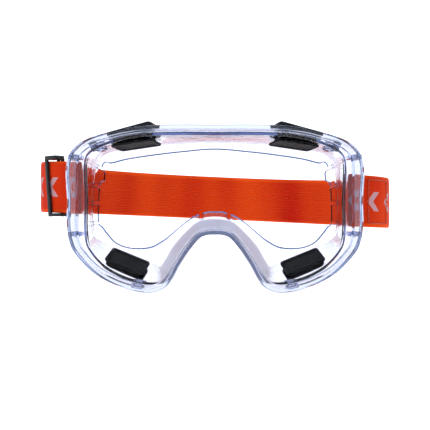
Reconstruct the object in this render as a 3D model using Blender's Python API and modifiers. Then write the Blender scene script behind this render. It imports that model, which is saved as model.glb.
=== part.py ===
"""Clear safety goggles: a soft clear frame, a wrapped lens, four covered vents and an elastic strap.

All sizes are in millimetres. They are drawn from the point where the lens is furthest forward, at the
height of the wearer's eyes: X to the side, Y back towards the face, Z up. at() turns such a place into the
part's own frame in metres, whose origin is the middle of the flat forehead seal, the face that rests on
the wearer. The strap and its slider hang from empties that lie on their joint axes.
"""

import math

import bpy
import bmesh
import numpy as np
from mathutils import Matrix, Vector

# Driving sizes ---------------------------------------------------------------------------------------
FRAME_WIDTH = 167.2         # across the front rim at the temples
FRAME_HEIGHT = 89.4         # top of the rim to the bottom of the cheeks
LENS_RADIUS = 137.0         # outside of the rim's front face, an upright cylinder
LENS_THICK = 2.0
RIM_LIP = 1.6               # plastic in front of the lens edge
RIM_WALL = 2.0              # plastic around the lens edge
RIM_DEPTH = 6.2             # front face of the rim to its back face
REAR_LIP_COVER = 4.2        # how far the rim reaches in behind the lens, at least
SHELL_WALL = 1.4
FLANGE_THICK = 1.5          # the soft edge that meets the face
SEAL_DEPTH = 36.0           # front of the rim to the forehead seal
SEAL_FLAT = 20.0            # half of the straight stretch across the forehead
FACE_RADIUS = 85.0          # curve of the seal round the head, outside the straight stretch
GAP = 0.3                   # between pieces that touch

STRAP_WIDTH = 30.0
STRAP_THICK = 1.4
LAYER_GAP = 0.4             # between two layers of folded strap
STRAP_MID = 12.0            # height of the strap's middle at the centre of the goggles
STRAP_TILT = -0.046         # the strap sits higher on the slider's side: rise per millimetre of X
SLOT_ABOVE = 0.6            # room in the slot over the strap, on the side where it sits higher
SLOT_BELOW = 2.6            # room under the strap, on the side where it sits lower

PIN_RADIUS = 1.6
PIN_HEAD_RADIUS = 2.3
PIN_HEAD = 0.9              # thickness of a pin's head
PIN_INSET = 4.4             # pin centre, inwards from the side of the rim
PIN_BACK = 10.5             # pin centre, behind the front face at the side of the rim
LUG_THICK = 2.4             # height of a lug's arm
LUG_MARGIN = 1.3            # plastic around the pin's hole

STRAP_LEAVE = 24.0          # degrees: the way the doubled strap leaves the pin, 0 is straight outwards
STRAP_RUN = 8.0             # pin centre to where the two layers lie flat
STRAP_BEND = 32.0           # radius of the strap where it turns back beside the temple
STRAP_BEND_END = 110.0      # degrees: where that bend ends and the wide curve round the head starts
STRAP_BACK_FLAT = 8.5       # half of the straight stretch at the back of the head
TAIL_END = 106.0            # degrees: where the strap's free tail ends
SEWN_END = 62.0             # degrees: where the sewn end stops
LOOP_CUT = 4.8              # pin centre, outwards, to where the swinging part of the strap starts

SLIDER_MID = 37.5           # degrees along the bend
SLIDER_LENGTH = 10.4
SLIDER_BAR = 1.6            # thickness of its bars
SLIDER_BAR_WIDTH = 2.6
SLIDER_RAIL = 2.2
SLIDER_PLAY = 1.1           # strap edge to the slider's rail
SLIDER_CLEAR = 0.5          # strap face to the slider's bars

VENT_LENGTH = 29.0          # outer cover, along the wall
VENT_DEPTH = 18.0           # outer cover, front to back
TOP_RISE = 6.8              # top of a brow cover above the wall
CHEEK_RISE = 3.4            # top of a cheek cover above the wall
COVER_WALL = 1.2
COVER_GAP = 1.1             # air gap under the outer cover's edge
GRILLE_STEP = 2.0           # the grille plate is this much smaller than the cover on each side
GRILLE_THICK = 1.4
GRILLE_GAP = 1.8            # grille plate to the wall's inner face
GRILLE_BORDER = 2.0         # raised border round the grille plate
GRILLE_RECESS = 0.5         # depth of the plate's face inside that border
NECK_STEP = 4.0             # the neck is this much smaller than the cover on each side
NECK_CLEAR = 0.4            # neck to the window in the wall
NECK_RISE = 0.9             # the neck stands out of the wall by this
VENT_SLOTS = 5
VENT_SLOT_WIDTH = 1.8
TOP_VENT = (2.62, 0.50)     # outline row and share of the wall's depth of its middle
CHEEK_VENT = (12.9, 0.48)

STITCH_BOX = (27.0, 59.0)   # degrees along the bend
STITCH_EDGE = 2.4           # strap edge to the middle of the sewn line
STITCH_WIDTH = 0.9
STITCH_THICK = 0.5

SECTION_STEPS = 2           # loft sections between two outline rows
ARC_STEP = math.radians(5.0)

# One half of the frame from the middle of the brow, down the side and under the cheek to the nose. Across
# values are shares of half the width, heights are shares of the height above the eye line. Each row is
# rim (across, height), rim lip and wall inset in mm, the wall's back fold, and the edge of the face flange.
OUTLINE = (
    (0.000, 0.534, 3.6, 3.4, 0.000, 0.475, 0.000, 0.415),
    (0.224, 0.537, 3.6, 3.4, 0.228, 0.469, 0.228, 0.398),
    (0.416, 0.536, 3.6, 3.4, 0.427, 0.458, 0.427, 0.377),
    (0.590, 0.523, 3.8, 3.4, 0.600, 0.438, 0.600, 0.356),
    (0.754, 0.493, 4.2, 3.8, 0.742, 0.416, 0.718, 0.334),
    (0.880, 0.458, 5.2, 4.8, 0.797, 0.386, 0.762, 0.342),
    (0.968, 0.397, 6.4, 6.4, 0.836, 0.334, 0.786, 0.313),
    (1.007, 0.290, 6.8, 7.6, 0.866, 0.243, 0.800, 0.216),
    (0.997, 0.094, 6.2, 7.5, 0.882, 0.098, 0.810, 0.098),
    (1.000, -0.063, 6.2, 7.4, 0.876, -0.046, 0.812, -0.046),
    (0.972, -0.188, 5.8, 6.4, 0.848, -0.151, 0.782, -0.078),
    (0.904, -0.273, 5.2, 4.8, 0.786, -0.189, 0.749, -0.117),
    (0.781, -0.367, 4.8, 4.0, 0.705, -0.217, 0.682, -0.178),
    (0.615, -0.434, 4.6, 3.6, 0.581, -0.257, 0.581, -0.209),
    (0.437, -0.464, 4.4, 3.4, 0.449, -0.313, 0.449, -0.204),
    (0.333, -0.438, 4.0, 2.6, 0.372, -0.339, 0.359, -0.163),
    (0.275, -0.378, 3.6, 1.6, 0.324, -0.287, 0.297, -0.119),
    (0.224, -0.295, 3.2, 1.0, 0.276, -0.210, 0.242, -0.075),
    (0.160, -0.206, 3.2, 0.8, 0.201, -0.128, 0.188, -0.035),
    (0.098, -0.139, 3.2, 0.8, 0.120, -0.060, 0.133, -0.003),
    (0.047, -0.119, 3.2, 0.8, 0.051, -0.041, 0.051, 0.022),
    (0.000, -0.117, 3.2, 0.8, 0.000, -0.038, 0.000, 0.022),
)
TEMPLE_SLITS = (0.325, 0.205, 0.078, -0.056)  # heights of the slits between the flange's temple tabs
NOSE_SLIT = 7.2             # from the middle to each slit beside the nose tab
SLIT = 1.6

HALF_WIDTH = FRAME_WIDTH / 2
SEAL_HEIGHT = FRAME_HEIGHT * (OUTLINE[0][5] + OUTLINE[0][7]) / 2


# Places ----------------------------------------------------------------------------------------------
def at(x, y, z):
    """Drawing place in mm to the part's own frame in metres."""
    return Vector((x, y - SEAL_DEPTH, z - SEAL_HEIGHT)) / 1000.0


def rim_depth(x):
    """How far the rim's front face lies behind its middle, at a distance x to the side."""
    return LENS_RADIUS - math.sqrt(LENS_RADIUS ** 2 - x * x)


def face_depth(x):
    """How far back the face seal lies: straight across the forehead, then curving round the head."""
    past = max(0.0, abs(x) - SEAL_FLAT)
    return SEAL_DEPTH + FACE_RADIUS - math.sqrt(FACE_RADIUS ** 2 - past * past)


def behind_rim(x, z, depth):
    """The place under a point of the rim's front face, straight in towards the cylinder's axis."""
    lean = x / LENS_RADIUS
    return np.array((x - depth * lean, rim_depth(x) + depth * math.sqrt(1 - lean * lean), z))


PIN_X = HALF_WIDTH - PIN_INSET
PIN_Y = rim_depth(HALF_WIDTH) + PIN_BACK
SLOT_RISE = abs(STRAP_TILT) * (PIN_X + LOOP_CUT)
SLOT_TOP = STRAP_MID + STRAP_WIDTH / 2 + SLOT_RISE + SLOT_ABOVE
SLOT_BOTTOM = STRAP_MID - STRAP_WIDTH / 2 - SLOT_RISE - SLOT_BELOW
SLOT_MID = (SLOT_TOP + SLOT_BOTTOM) / 2
LAYER_STEP = STRAP_THICK + LAYER_GAP


# The outline -----------------------------------------------------------------------------------------
def full_outline():
    """All rows round the frame, clockwise from the brow as the wearer's helper sees it."""
    right = np.array(OUTLINE)
    left = right[-2:0:-1].copy()
    left[:, (0, 4, 6)] *= -1
    rows = np.vstack((right, left))
    rows[:, (0, 4, 6)] *= HALF_WIDTH
    rows[:, (1, 5, 7)] *= FRAME_HEIGHT
    return rows


ROWS = full_outline()


def row_at(t):
    """The outline row at a position t between whole rows, by a Catmull-Rom curve."""
    count = len(ROWS)
    i = int(math.floor(t))
    f = t - i
    a, b, c, d = (ROWS[(i + k) % count] for k in (-1, 0, 1, 2))
    return 0.5 * (2 * b + (c - a) * f + (2 * a - 5 * b + 4 * c - d) * f ** 2
                  + (3 * b - a - 3 * c + d) * f ** 3)


def inward(t, column):
    """Unit vector in the front view, square to an outline and pointing into the frame."""
    step = 0.05
    ahead = row_at(t + step)[column:column + 2] - row_at(t - step)[column:column + 2]
    ahead /= np.linalg.norm(ahead)
    return np.array((ahead[1], -ahead[0]))


def rim_point(t, inset, depth):
    x, z = row_at(t)[0:2] + inward(t, 0) * inset
    return behind_rim(x, z, depth)


def fold_point(t, inset, depth):
    """On the back fold of the wall: inset into the frame, depth back from the face seal's surface."""
    x, z = row_at(t)[4:6] + inward(t, 4) * inset
    return np.array((x, face_depth(x) + depth, z))


def wall_point(t, share):
    """On the wall's outer face, from the back of the rim (share 0) to the fold (share 1)."""
    front = rim_point(t, row_at(t)[3], RIM_DEPTH)
    return front + (fold_point(t, 0.0, 0.0) - front) * share


def frame_section(t):
    """The frame's closed section at t: round the rim, down the inside, round the flange, up the outside."""
    row = row_at(t)
    lip, inset = row[2], row[3]
    rear_lip = max(REAR_LIP_COVER, inset + SHELL_WALL + 0.6)
    middle = RIM_LIP + GAP + LENS_THICK / 2
    soft = 0.5
    edge_x, edge_z = row[6], row[7]
    edge_y = face_depth(edge_x)
    return (
        rim_point(t, soft, 0.0),
        rim_point(t, lip - soft, 0.0),
        rim_point(t, lip, soft),
        rim_point(t, lip, middle),
        rim_point(t, rear_lip, middle),
        rim_point(t, rear_lip, RIM_DEPTH),
        rim_point(t, inset + SHELL_WALL, RIM_DEPTH),
        fold_point(t, SHELL_WALL, -FLANGE_THICK),
        np.array((edge_x, edge_y - FLANGE_THICK, edge_z)),
        np.array((edge_x, edge_y, edge_z)),
        fold_point(t, 0.0, 0.0),
        rim_point(t, inset, RIM_DEPTH),
        rim_point(t, soft, RIM_DEPTH),
        rim_point(t, 0.0, RIM_DEPTH - soft),
        rim_point(t, 0.0, soft),
    )


# Blender helpers -------------------------------------------------------------------------------------
def clear_scene():
    for thing in list(bpy.data.objects):
        bpy.data.objects.remove(thing, do_unlink=True)


def new_collection(name):
    group = bpy.data.collections.get(name) or bpy.data.collections.new(name)
    if group.name not in bpy.context.scene.collection.children:
        bpy.context.scene.collection.children.link(group)
    return group


def make_material(name, colour, roughness, alpha=1.0):
    material = bpy.data.materials.get(name) or bpy.data.materials.new(name)
    material.use_nodes = True
    shader = material.node_tree.nodes["Principled BSDF"]
    shader.inputs["Base Color"].default_value = (*colour, 1.0)
    shader.inputs["Roughness"].default_value = roughness
    shader.inputs["Metallic"].default_value = 0.0
    shader.inputs["Alpha"].default_value = alpha
    return material


def add_object(name, mesh, group, material=None):
    thing = bpy.data.objects.new(name, mesh)
    group.objects.link(thing)
    if material:
        mesh.materials.append(material)
    return thing


def finish_bmesh(bm, name):
    bmesh.ops.remove_doubles(bm, verts=bm.verts, dist=0.000001)
    bmesh.ops.recalc_face_normals(bm, faces=bm.faces)
    mesh = bpy.data.meshes.new(name)
    bm.to_mesh(mesh)
    bm.free()
    return mesh


def box_mesh(name, boxes):
    """One mesh of boxes: each is a size in mm and a matrix that places its middle, in metres."""
    bm = bmesh.new()
    for size, place in boxes:
        scale = Matrix.Diagonal((*(Vector(size) / 1000.0), 1.0))
        bmesh.ops.create_cube(bm, size=1.0, matrix=place @ scale)
    return finish_bmesh(bm, name)


def box_between(low, high):
    """Size and place of an upright box given by two corners in drawing millimetres."""
    low, high = Vector(low), Vector(high)
    return high - low, Matrix.Translation(at(*((low + high) / 2)))


def prism(name, outline, low, high, upright=True):
    """A flat outline made solid between two levels: heights when upright, else depths from the front."""
    curve = bpy.data.curves.new(name, "CURVE")
    curve.dimensions = "2D"
    curve.fill_mode = "BOTH"
    curve.extrude = (high - low) / 2000.0
    spline = curve.splines.new("POLY")
    spline.points.add(len(outline) - 1)
    for point, (a, b) in zip(spline.points, outline):
        point.co = (a / 1000.0, b / 1000.0, 0.0, 1.0)
    spline.use_cyclic_u = True
    middle = (low + high) / 2
    if upright:
        place = Matrix.Translation(at(0.0, 0.0, middle))
    else:
        place = Matrix.Translation(at(0.0, middle, 0.0)) @ Matrix.Rotation(math.pi / 2, 4, "X")
    return curve_to_mesh(curve, name, place)


def curve_to_mesh(curve, name, place):
    """The curve's mesh in the part's frame, with its caps welded on."""
    source = bpy.data.objects.new(name, curve)
    bpy.context.scene.collection.objects.link(source)
    depsgraph = bpy.context.evaluated_depsgraph_get()
    mesh = bpy.data.meshes.new_from_object(source.evaluated_get(depsgraph))
    bm = bmesh.new()
    bm.from_mesh(mesh)
    bmesh.ops.transform(bm, matrix=place, verts=bm.verts)
    bpy.data.objects.remove(source, do_unlink=True)
    bpy.data.curves.remove(curve)
    bpy.data.meshes.remove(mesh)
    return finish_bmesh(bm, name)


def cut(target, cutter, operation="DIFFERENCE"):
    modifier = target.modifiers.new(f"{operation.lower()}_{cutter.name}", "BOOLEAN")
    modifier.operation = operation
    modifier.solver = "EXACT"
    modifier.object = cutter
    cutter.hide_render = True
    cutter.display_type = "WIRE"


def bevel(thing, width, segments, angle=40.0):
    modifier = thing.modifiers.new("bevel", "BEVEL")
    modifier.width = width / 1000.0
    modifier.segments = segments
    modifier.limit_method = "ANGLE"
    modifier.angle_limit = math.radians(angle)
    return modifier


def ring_sector(centre, inner, outer, start, end, side=1):
    """Plan outline between two radii and two angles of the strap's bend, on one side of the goggles."""
    steps = max(1, math.ceil((end - start) / ARC_STEP))
    angles = [start + (end - start) * i / steps for i in range(steps + 1)]
    far = [bend_point(centre, outer, a) for a in angles]
    near = [bend_point(centre, inner, a) for a in reversed(angles)]
    return [(side * x, y) for x, y in far + near]


def bend_point(centre, radius, angle):
    """On the bend: at angle 0 the strap runs straight outwards, at 90 degrees straight back."""
    return centre[0] + radius * math.sin(angle), centre[1] - radius * math.cos(angle)


# The frame and its lens ------------------------------------------------------------------------------
def lens_sheet(name, inset, front, back):
    """Where a curved sheet meets the rim: an outline prism and the ring that cuts it to its thickness."""
    steps = len(ROWS) * SECTION_STEPS
    outline = [rim_point(i / SECTION_STEPS, inset, 0.0)[[0, 2]] for i in range(steps)]
    body = prism(f"{name}_outline", outline, -10.0, SEAL_DEPTH, upright=False)
    reach = math.asin(min(1.0, (HALF_WIDTH + 5.0) / LENS_RADIUS))
    angles = [reach * (i / 20.0 - 1.0) for i in range(41)]

    def arc(depth, order):
        radius = LENS_RADIUS - depth
        return [(radius * math.sin(a), LENS_RADIUS - radius * math.cos(a)) for a in order]

    ring = prism(f"{name}_ring", arc(front, angles) + arc(back, angles[::-1]), -FRAME_HEIGHT, FRAME_HEIGHT)
    return body, ring


def make_lens(parts, cutters, material):
    front = RIM_LIP + GAP
    body, ring = lens_sheet("lens", RIM_WALL + GAP, front, front + LENS_THICK)
    lens = add_object("lens", body, parts, material)
    cut(lens, add_object("lens_ring", ring, cutters), "INTERSECT")
    return lens


def make_frame(parts, cutters, material):
    steps = len(ROWS) * SECTION_STEPS
    bm = bmesh.new()
    rings = []
    for i in range(steps):
        rings.append([bm.verts.new(at(*p)) for p in frame_section(i / SECTION_STEPS)])
    count = len(rings[0])
    for i, ring in enumerate(rings):
        after = rings[(i + 1) % steps]
        for k in range(count):
            n = (k + 1) % count
            bm.faces.new((ring[k], ring[n], after[n], after[k]))
    frame = add_object("frame_body", finish_bmesh(bm, "frame_body"), parts, material)
    lugs = add_object("lug_arms", box_mesh("lug_arms", lug_boxes()), cutters)
    cut(frame, lugs, "UNION")
    cut(frame, make_pocket(cutters))
    cut(frame, make_pin_holes(cutters))
    cut(frame, add_object("flange_slits", box_mesh("flange_slits", slit_boxes()), cutters))
    cut(frame, add_object("vent_windows", box_mesh("vent_windows", window_boxes()), cutters))
    return frame


def make_pocket(cutters):
    """The groove that the lens sits in, larger than the lens by the gap all round."""
    body, ring = lens_sheet("pocket", RIM_WALL, RIM_LIP, RIM_LIP + LENS_THICK + 2 * GAP)
    pocket = add_object("lens_pocket", body, cutters)
    cut(pocket, add_object("pocket_ring", ring, cutters), "INTERSECT")
    return pocket


def lug_boxes():
    """Arms behind the rim, above and below each strap slot, that hold the ends of the strap pin."""
    reach = PIN_RADIUS + GAP + LUG_MARGIN
    inner = PIN_X - reach - 1.6
    front = rim_depth(inner) + RIM_DEPTH - 1.4
    for side in (-1, 1):
        xs = sorted((side * inner, side * (PIN_X + reach)))
        for low in (SLOT_TOP, SLOT_BOTTOM - LUG_THICK):
            yield box_between((xs[0], front, low), (xs[1], PIN_Y + reach, low + LUG_THICK))


def make_pin_holes(cutters):
    bm = bmesh.new()
    radius = (PIN_RADIUS + GAP) / 1000.0
    for side in (-1, 1):
        place = Matrix.Translation(at(side * PIN_X, PIN_Y, SLOT_MID))
        bmesh.ops.create_cone(bm, cap_ends=True, segments=16, radius1=radius, radius2=radius,
                              depth=(SLOT_TOP - SLOT_BOTTOM + 4 * LUG_THICK) / 1000.0, matrix=place)
    return add_object("pin_holes", finish_bmesh(bm, "pin_holes"), cutters)


def fold_share(height):
    """How far out the wall's back fold stands at this height down the temple, as shares of the frame."""
    rows = [row for row in reversed(OUTLINE) if row[4] > 0.78]
    return float(np.interp(height, [row[5] for row in rows], [row[4] for row in rows]))


def slit_boxes():
    """Slits that let the face flange bend: four at each temple and one on each side of the nose tab."""
    for side in (-1, 1):
        for share in TEMPLE_SLITS:
            z = share * FRAME_HEIGHT
            outer = HALF_WIDTH * fold_share(z / FRAME_HEIGHT) - SHELL_WALL - 0.6
            xs = sorted((side * outer, side * (outer - 8.0)))
            y = face_depth(outer)
            yield box_between((xs[0], y - 8.0, z - SLIT / 2), (xs[1], y + 4.0, z + SLIT / 2))
        x = side * NOSE_SLIT
        low = FRAME_HEIGHT * OUTLINE[-2][5] + SHELL_WALL + 0.6
        yield box_between((x - SLIT / 2, SEAL_DEPTH - 8.0, low), (x + SLIT / 2, SEAL_DEPTH + 4.0, low + 12.0))


# Vents -----------------------------------------------------------------------------------------------
def vent_places():
    """Name, matrix from the vent's own axes (along, front to back, outwards) and rise of each vent."""
    count = len(ROWS)
    for level, (row, share), rise in (("top", TOP_VENT, TOP_RISE), ("cheek", CHEEK_VENT, CHEEK_RISE)):
        for label, t in (("right", row), ("left", count - row)):
            step = 0.4
            middle = wall_point(t, share)
            along = Vector(wall_point(t + step, share) - wall_point(t - step, share)).normalized()
            deep = Vector(wall_point(t, share + 0.2) - wall_point(t, share - 0.2))
            out = deep.cross(along).normalized()
            inner = Vector((*inward(t, 0), 0.0))
            if out.x * inner.x + out.z * inner.y > 0:
                out.negate()
            deep = out.cross(along)
            turn = Matrix((along, deep, out)).transposed().to_4x4()
            yield f"{level}_{label}", Matrix.Translation(at(*middle)) @ turn, rise


def vent_box(place, length, depth, low, high, shift=0.0):
    size = (length, depth, high - low)
    return size, place @ Matrix.Translation(Vector((shift, 0.0, (low + high) / 2)) / 1000.0)


def window_boxes():
    shrink = 2 * (NECK_STEP - NECK_CLEAR)
    for _, place, _ in vent_places():
        yield vent_box(place, VENT_LENGTH - shrink, VENT_DEPTH - shrink, -6.0, 6.0)


def make_vents(parts, cutters, cover_material, grille_material):
    for name, place, rise in vent_places():
        make_vent_cover(name, place, rise, parts, cutters, cover_material)
        make_vent_grille(name, place, parts, cutters, grille_material)


def make_vent_cover(name, place, rise, parts, cutters, material):
    """A hood over the window, open towards the wall, so air goes round its edge but drops don't."""
    hood = box_mesh(f"vent_cover_{name}", [vent_box(place, VENT_LENGTH, VENT_DEPTH, COVER_GAP, rise)])
    cover = add_object(f"vent_cover_{name}", hood, parts, material)
    soft = 0.35 * (rise - COVER_GAP)
    bevel(cover, soft, 2, angle=60.0)
    shrink = 2 * COVER_WALL
    hollow = [vent_box(place, VENT_LENGTH - shrink, VENT_DEPTH - shrink, COVER_GAP - 4.0,
                       rise - COVER_WALL)]
    inside = add_object(f"hollow_{name}", box_mesh(f"hollow_{name}", hollow), cutters)
    bevel(inside, 0.6 * soft, 2, angle=60.0)
    cut(cover, inside)


def make_vent_grille(name, place, parts, cutters, material):
    """The inner piece: a bordered plate inside the wall, on a neck of ribs that stand in the window.

    Air passes between the ribs and round the plate's edge, so nothing can splash straight through.
    """
    back = -SHELL_WALL - GRILLE_GAP
    plate = vent_box(place, VENT_LENGTH - 2 * GRILLE_STEP, VENT_DEPTH - 2 * GRILLE_STEP,
                     back - GRILLE_THICK, back)
    neck = vent_box(place, VENT_LENGTH - 2 * NECK_STEP, VENT_DEPTH - 2 * NECK_STEP,
                    back - GRILLE_THICK / 2, NECK_RISE)
    grille = add_object(f"vent_grille_{name}", box_mesh(f"vent_grille_{name}", [plate]), parts, material)
    bevel(grille, 0.5, 2, angle=60.0)
    cut(grille, add_object(f"neck_{name}", box_mesh(f"neck_{name}", [neck]), cutters), "UNION")
    pitch = (VENT_LENGTH - 2 * NECK_STEP - COVER_WALL) / VENT_SLOTS
    hollows = [vent_box(place, VENT_SLOT_WIDTH, VENT_DEPTH, back, NECK_RISE + 2.0,
                        shift=(i - (VENT_SLOTS - 1) / 2) * pitch) for i in range(VENT_SLOTS)]
    inset = 2 * (GRILLE_STEP + GRILLE_BORDER)
    hollows.append(vent_box(place, VENT_LENGTH - inset, VENT_DEPTH - inset,
                            back - GRILLE_THICK - 2.0, back - GRILLE_THICK + GRILLE_RECESS))
    cut(grille, add_object(f"hollows_{name}", box_mesh(f"hollows_{name}", hollows), cutters))


# Strap -----------------------------------------------------------------------------------------------
LEAVE = math.radians(STRAP_LEAVE)
FLAT_START = (PIN_X + STRAP_RUN * math.cos(LEAVE), PIN_Y + STRAP_RUN * math.sin(LEAVE))
BEND_CENTRE = (FLAT_START[0] - STRAP_BEND * math.sin(LEAVE), FLAT_START[1] + STRAP_BEND * math.cos(LEAVE))
LOOP_RADIUS = PIN_RADIUS + GAP + 0.2 + STRAP_THICK / 2
LOOP_END = LOOP_CUT - (STRAP_THICK + GAP) / 2
BAND_START = LOOP_CUT + (STRAP_THICK + GAP) / 2


def near_pin(along, across):
    """Plan place from the pin: along the way the strap leaves it, and across towards the front."""
    return (PIN_X + along * math.cos(LEAVE) + across * math.sin(LEAVE),
            PIN_Y + along * math.sin(LEAVE) - across * math.cos(LEAVE))


def layer_offset(along, layer):
    """How far a layer's middle lies in front of the doubled strap's outer layer line, near the pin."""
    rest = 0.0 if layer == "outer" else -LAYER_STEP
    wide = LOOP_RADIUS if layer == "outer" else -LOOP_RADIUS
    share = min(1.0, max(0.0, along / STRAP_RUN))
    ease = share * share * (3 - 2 * share)
    return wide + (rest - wide) * ease


def along_at(out, layer):
    """How far along the strap a layer's middle is this far out from the pin, by repeated halving.

    Both layers end in one upright plane square to the swing axis, so the strap turns past its loops.
    """
    low, high = 0.0, STRAP_RUN
    for _ in range(30):
        middle = (low + high) / 2
        if near_pin(middle, layer_offset(middle, layer))[0] - PIN_X < out:
            low = middle
        else:
            high = middle
    return low


def lead_in(layer, start, end, steps=6):
    """The stretch between the pin and the bend, where the two layers close up."""
    for i in range(steps + 1):
        along = start + (end - start) * i / steps
        yield near_pin(along, layer_offset(along, layer))


def loop_path():
    """Round the pin: in along the outer layer, round the far side, and out along the inner layer."""
    front = list(lead_in("outer", along_at(LOOP_END, "outer"), 0.0))
    round_pin = [near_pin(-LOOP_RADIUS * math.sin(a), LOOP_RADIUS * math.cos(a))
                 for a in (math.pi * i / 10 for i in range(1, 10))]
    back = list(lead_in("inner", 0.0, along_at(LOOP_END, "inner")))
    return front + round_pin + back


def bend_path(radius, start, end):
    steps = max(2, math.ceil(abs(end - start) / ARC_STEP))
    return [bend_point(BEND_CENTRE, radius, start + (end - start) * i / steps) for i in range(steps + 1)]


def half_band():
    """The swinging outer layer from beside the pin, round the temple and to the back of the head."""
    bend_end = math.radians(STRAP_BEND_END)
    path = list(lead_in("outer", along_at(BAND_START, "outer"), STRAP_RUN, 3))[:-1]
    path += bend_path(STRAP_BEND, LEAVE, bend_end)
    corner = path[-1]
    wide = (corner[0] - STRAP_BACK_FLAT) / math.sin(bend_end)
    centre = (corner[0] - wide * math.sin(bend_end), corner[1] + wide * math.cos(bend_end))
    steps = 16
    for i in range(1, steps + 1):
        path.append(bend_point(centre, wide, bend_end + (math.pi - bend_end) * i / steps))
    return path


def inner_layer(end):
    """The layer that lies inside the band after the loop, as far as an angle of the bend."""
    lead = list(lead_in("inner", along_at(BAND_START, "inner"), STRAP_RUN, 3))[:-1]
    return lead + bend_path(STRAP_BEND - LAYER_STEP, LEAVE, math.radians(end))


def strap_height(x):
    return STRAP_MID + STRAP_TILT * x


def ribbon(name, path, parts, material):
    """Upright webbing along a plan path: a strip of curve made thick, leaning with the strap's tilt."""
    curve = bpy.data.curves.new(name, "CURVE")
    curve.dimensions = "2D"
    curve.fill_mode = "NONE"
    curve.extrude = STRAP_WIDTH / 2000.0
    spline = curve.splines.new("POLY")
    spline.points.add(len(path) - 1)
    for point, (x, y) in zip(spline.points, path):
        point.co = (x / 1000.0, y / 1000.0, 0.0, 1.0)
    mesh = curve_to_mesh(curve, name, Matrix.Translation(at(0.0, 0.0, 0.0)))
    for vertex in mesh.vertices:
        vertex.co.z += strap_height(vertex.co.x * 1000.0) / 1000.0
    band = add_object(name, mesh, parts, material)
    solid = band.modifiers.new("webbing", "SOLIDIFY")
    solid.thickness = STRAP_THICK / 1000.0
    solid.offset = 0.0
    solid.use_even_offset = True
    return band


def mirrored(path):
    return [(-x, y) for x, y in path]


def make_strap(parts, material):
    loop = loop_path()
    fixed = [ribbon("strap_loop_right", loop, parts, material),
             ribbon("strap_loop_left", mirrored(loop), parts, material)]
    half = half_band()
    whole = mirrored(half) + half[::-1]
    moving = [ribbon("strap_band", whole, parts, material),
              ribbon("strap_tail", mirrored(inner_layer(TAIL_END)), parts, material),
              ribbon("strap_sewn_end", inner_layer(SEWN_END), parts, material)]
    return fixed, moving


def bend_prism(name, low, high, start, end, bottom, top, side):
    """An upright piece of ring on the bend: between two radii, two angles and two heights."""
    outline = ring_sector(BEND_CENTRE, low, high, start, end, side)
    return prism(name, outline, bottom, top)


def make_stitching(parts, cutters, material):
    """A sewn box on the outside of the sewn end: two rows across the strap and one along each edge."""
    low = STRAP_BEND + STRAP_THICK / 2 + GAP
    high = low + STITCH_THICK
    start, end = (math.radians(a) for a in STITCH_BOX)
    middle = strap_height(bend_point(BEND_CENTRE, STRAP_BEND, (start + end) / 2)[0])
    reach = STRAP_WIDTH / 2 - STITCH_EDGE
    half = STITCH_WIDTH / low / 2
    skin = 0.05

    def along(name, level):
        return bend_prism(name, low, high, start, end, level - STITCH_WIDTH / 2, level + STITCH_WIDTH / 2, 1)

    def across(name, angle):
        return bend_prism(name, low + skin, high - skin, angle - half, angle + half,
                          middle - reach, middle + reach, 1)

    sewing = add_object("strap_stitching", along("stitch_top", middle + reach), parts, material)
    for mesh in (along("stitch_bottom", middle - reach), across("stitch_first", start + 2 * half),
                 across("stitch_last", end - 2 * half)):
        cut(sewing, add_object(mesh.name, mesh, cutters), "UNION")
    return sewing


def make_slider(parts, cutters, material):
    """A ladder of two rails and three bars: the strap passes behind the far bar and before the others."""
    middle = math.radians(SLIDER_MID)
    half = SLIDER_LENGTH / STRAP_BEND / 2
    outer = STRAP_BEND + STRAP_THICK / 2 + SLIDER_CLEAR
    inner = STRAP_BEND - LAYER_STEP - STRAP_THICK / 2 - SLIDER_CLEAR
    x = -bend_point(BEND_CENTRE, STRAP_BEND, middle)[0]
    height = strap_height(x)
    rail = STRAP_WIDTH / 2 + SLIDER_PLAY
    bar_half = SLIDER_BAR_WIDTH / STRAP_BEND / 2
    skin = 0.05

    def sector(name, low, high, start, end, bottom, top):
        return bend_prism(name, low, high, start, end, height + bottom, height + top, -1)

    low, high = inner - SLIDER_BAR, outer + SLIDER_BAR
    top_rail = sector("rail", low, high, middle - half, middle + half, rail, rail + SLIDER_RAIL)
    slider = add_object("strap_slider", top_rail, parts, material)
    bottom_rail = sector("rail_low", low, high, middle - half, middle + half, -rail - SLIDER_RAIL, -rail)
    pieces = [bottom_rail]
    reach = rail + SLIDER_RAIL / 2
    bars = (("near_bar", inner - SLIDER_BAR + skin, inner, middle - half + bar_half + skin / outer),
            ("centre_bar", inner - SLIDER_BAR + skin, inner, middle),
            ("far_bar", outer, outer + SLIDER_BAR - skin, middle + half - bar_half - skin / outer))
    for name, a, b, angle in bars:
        pieces.append(sector(name, a, b, angle - bar_half, angle + bar_half, -reach, reach))
    for mesh in pieces:
        cut(slider, add_object(f"slider_{mesh.name}", mesh, cutters), "UNION")
    return slider


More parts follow.
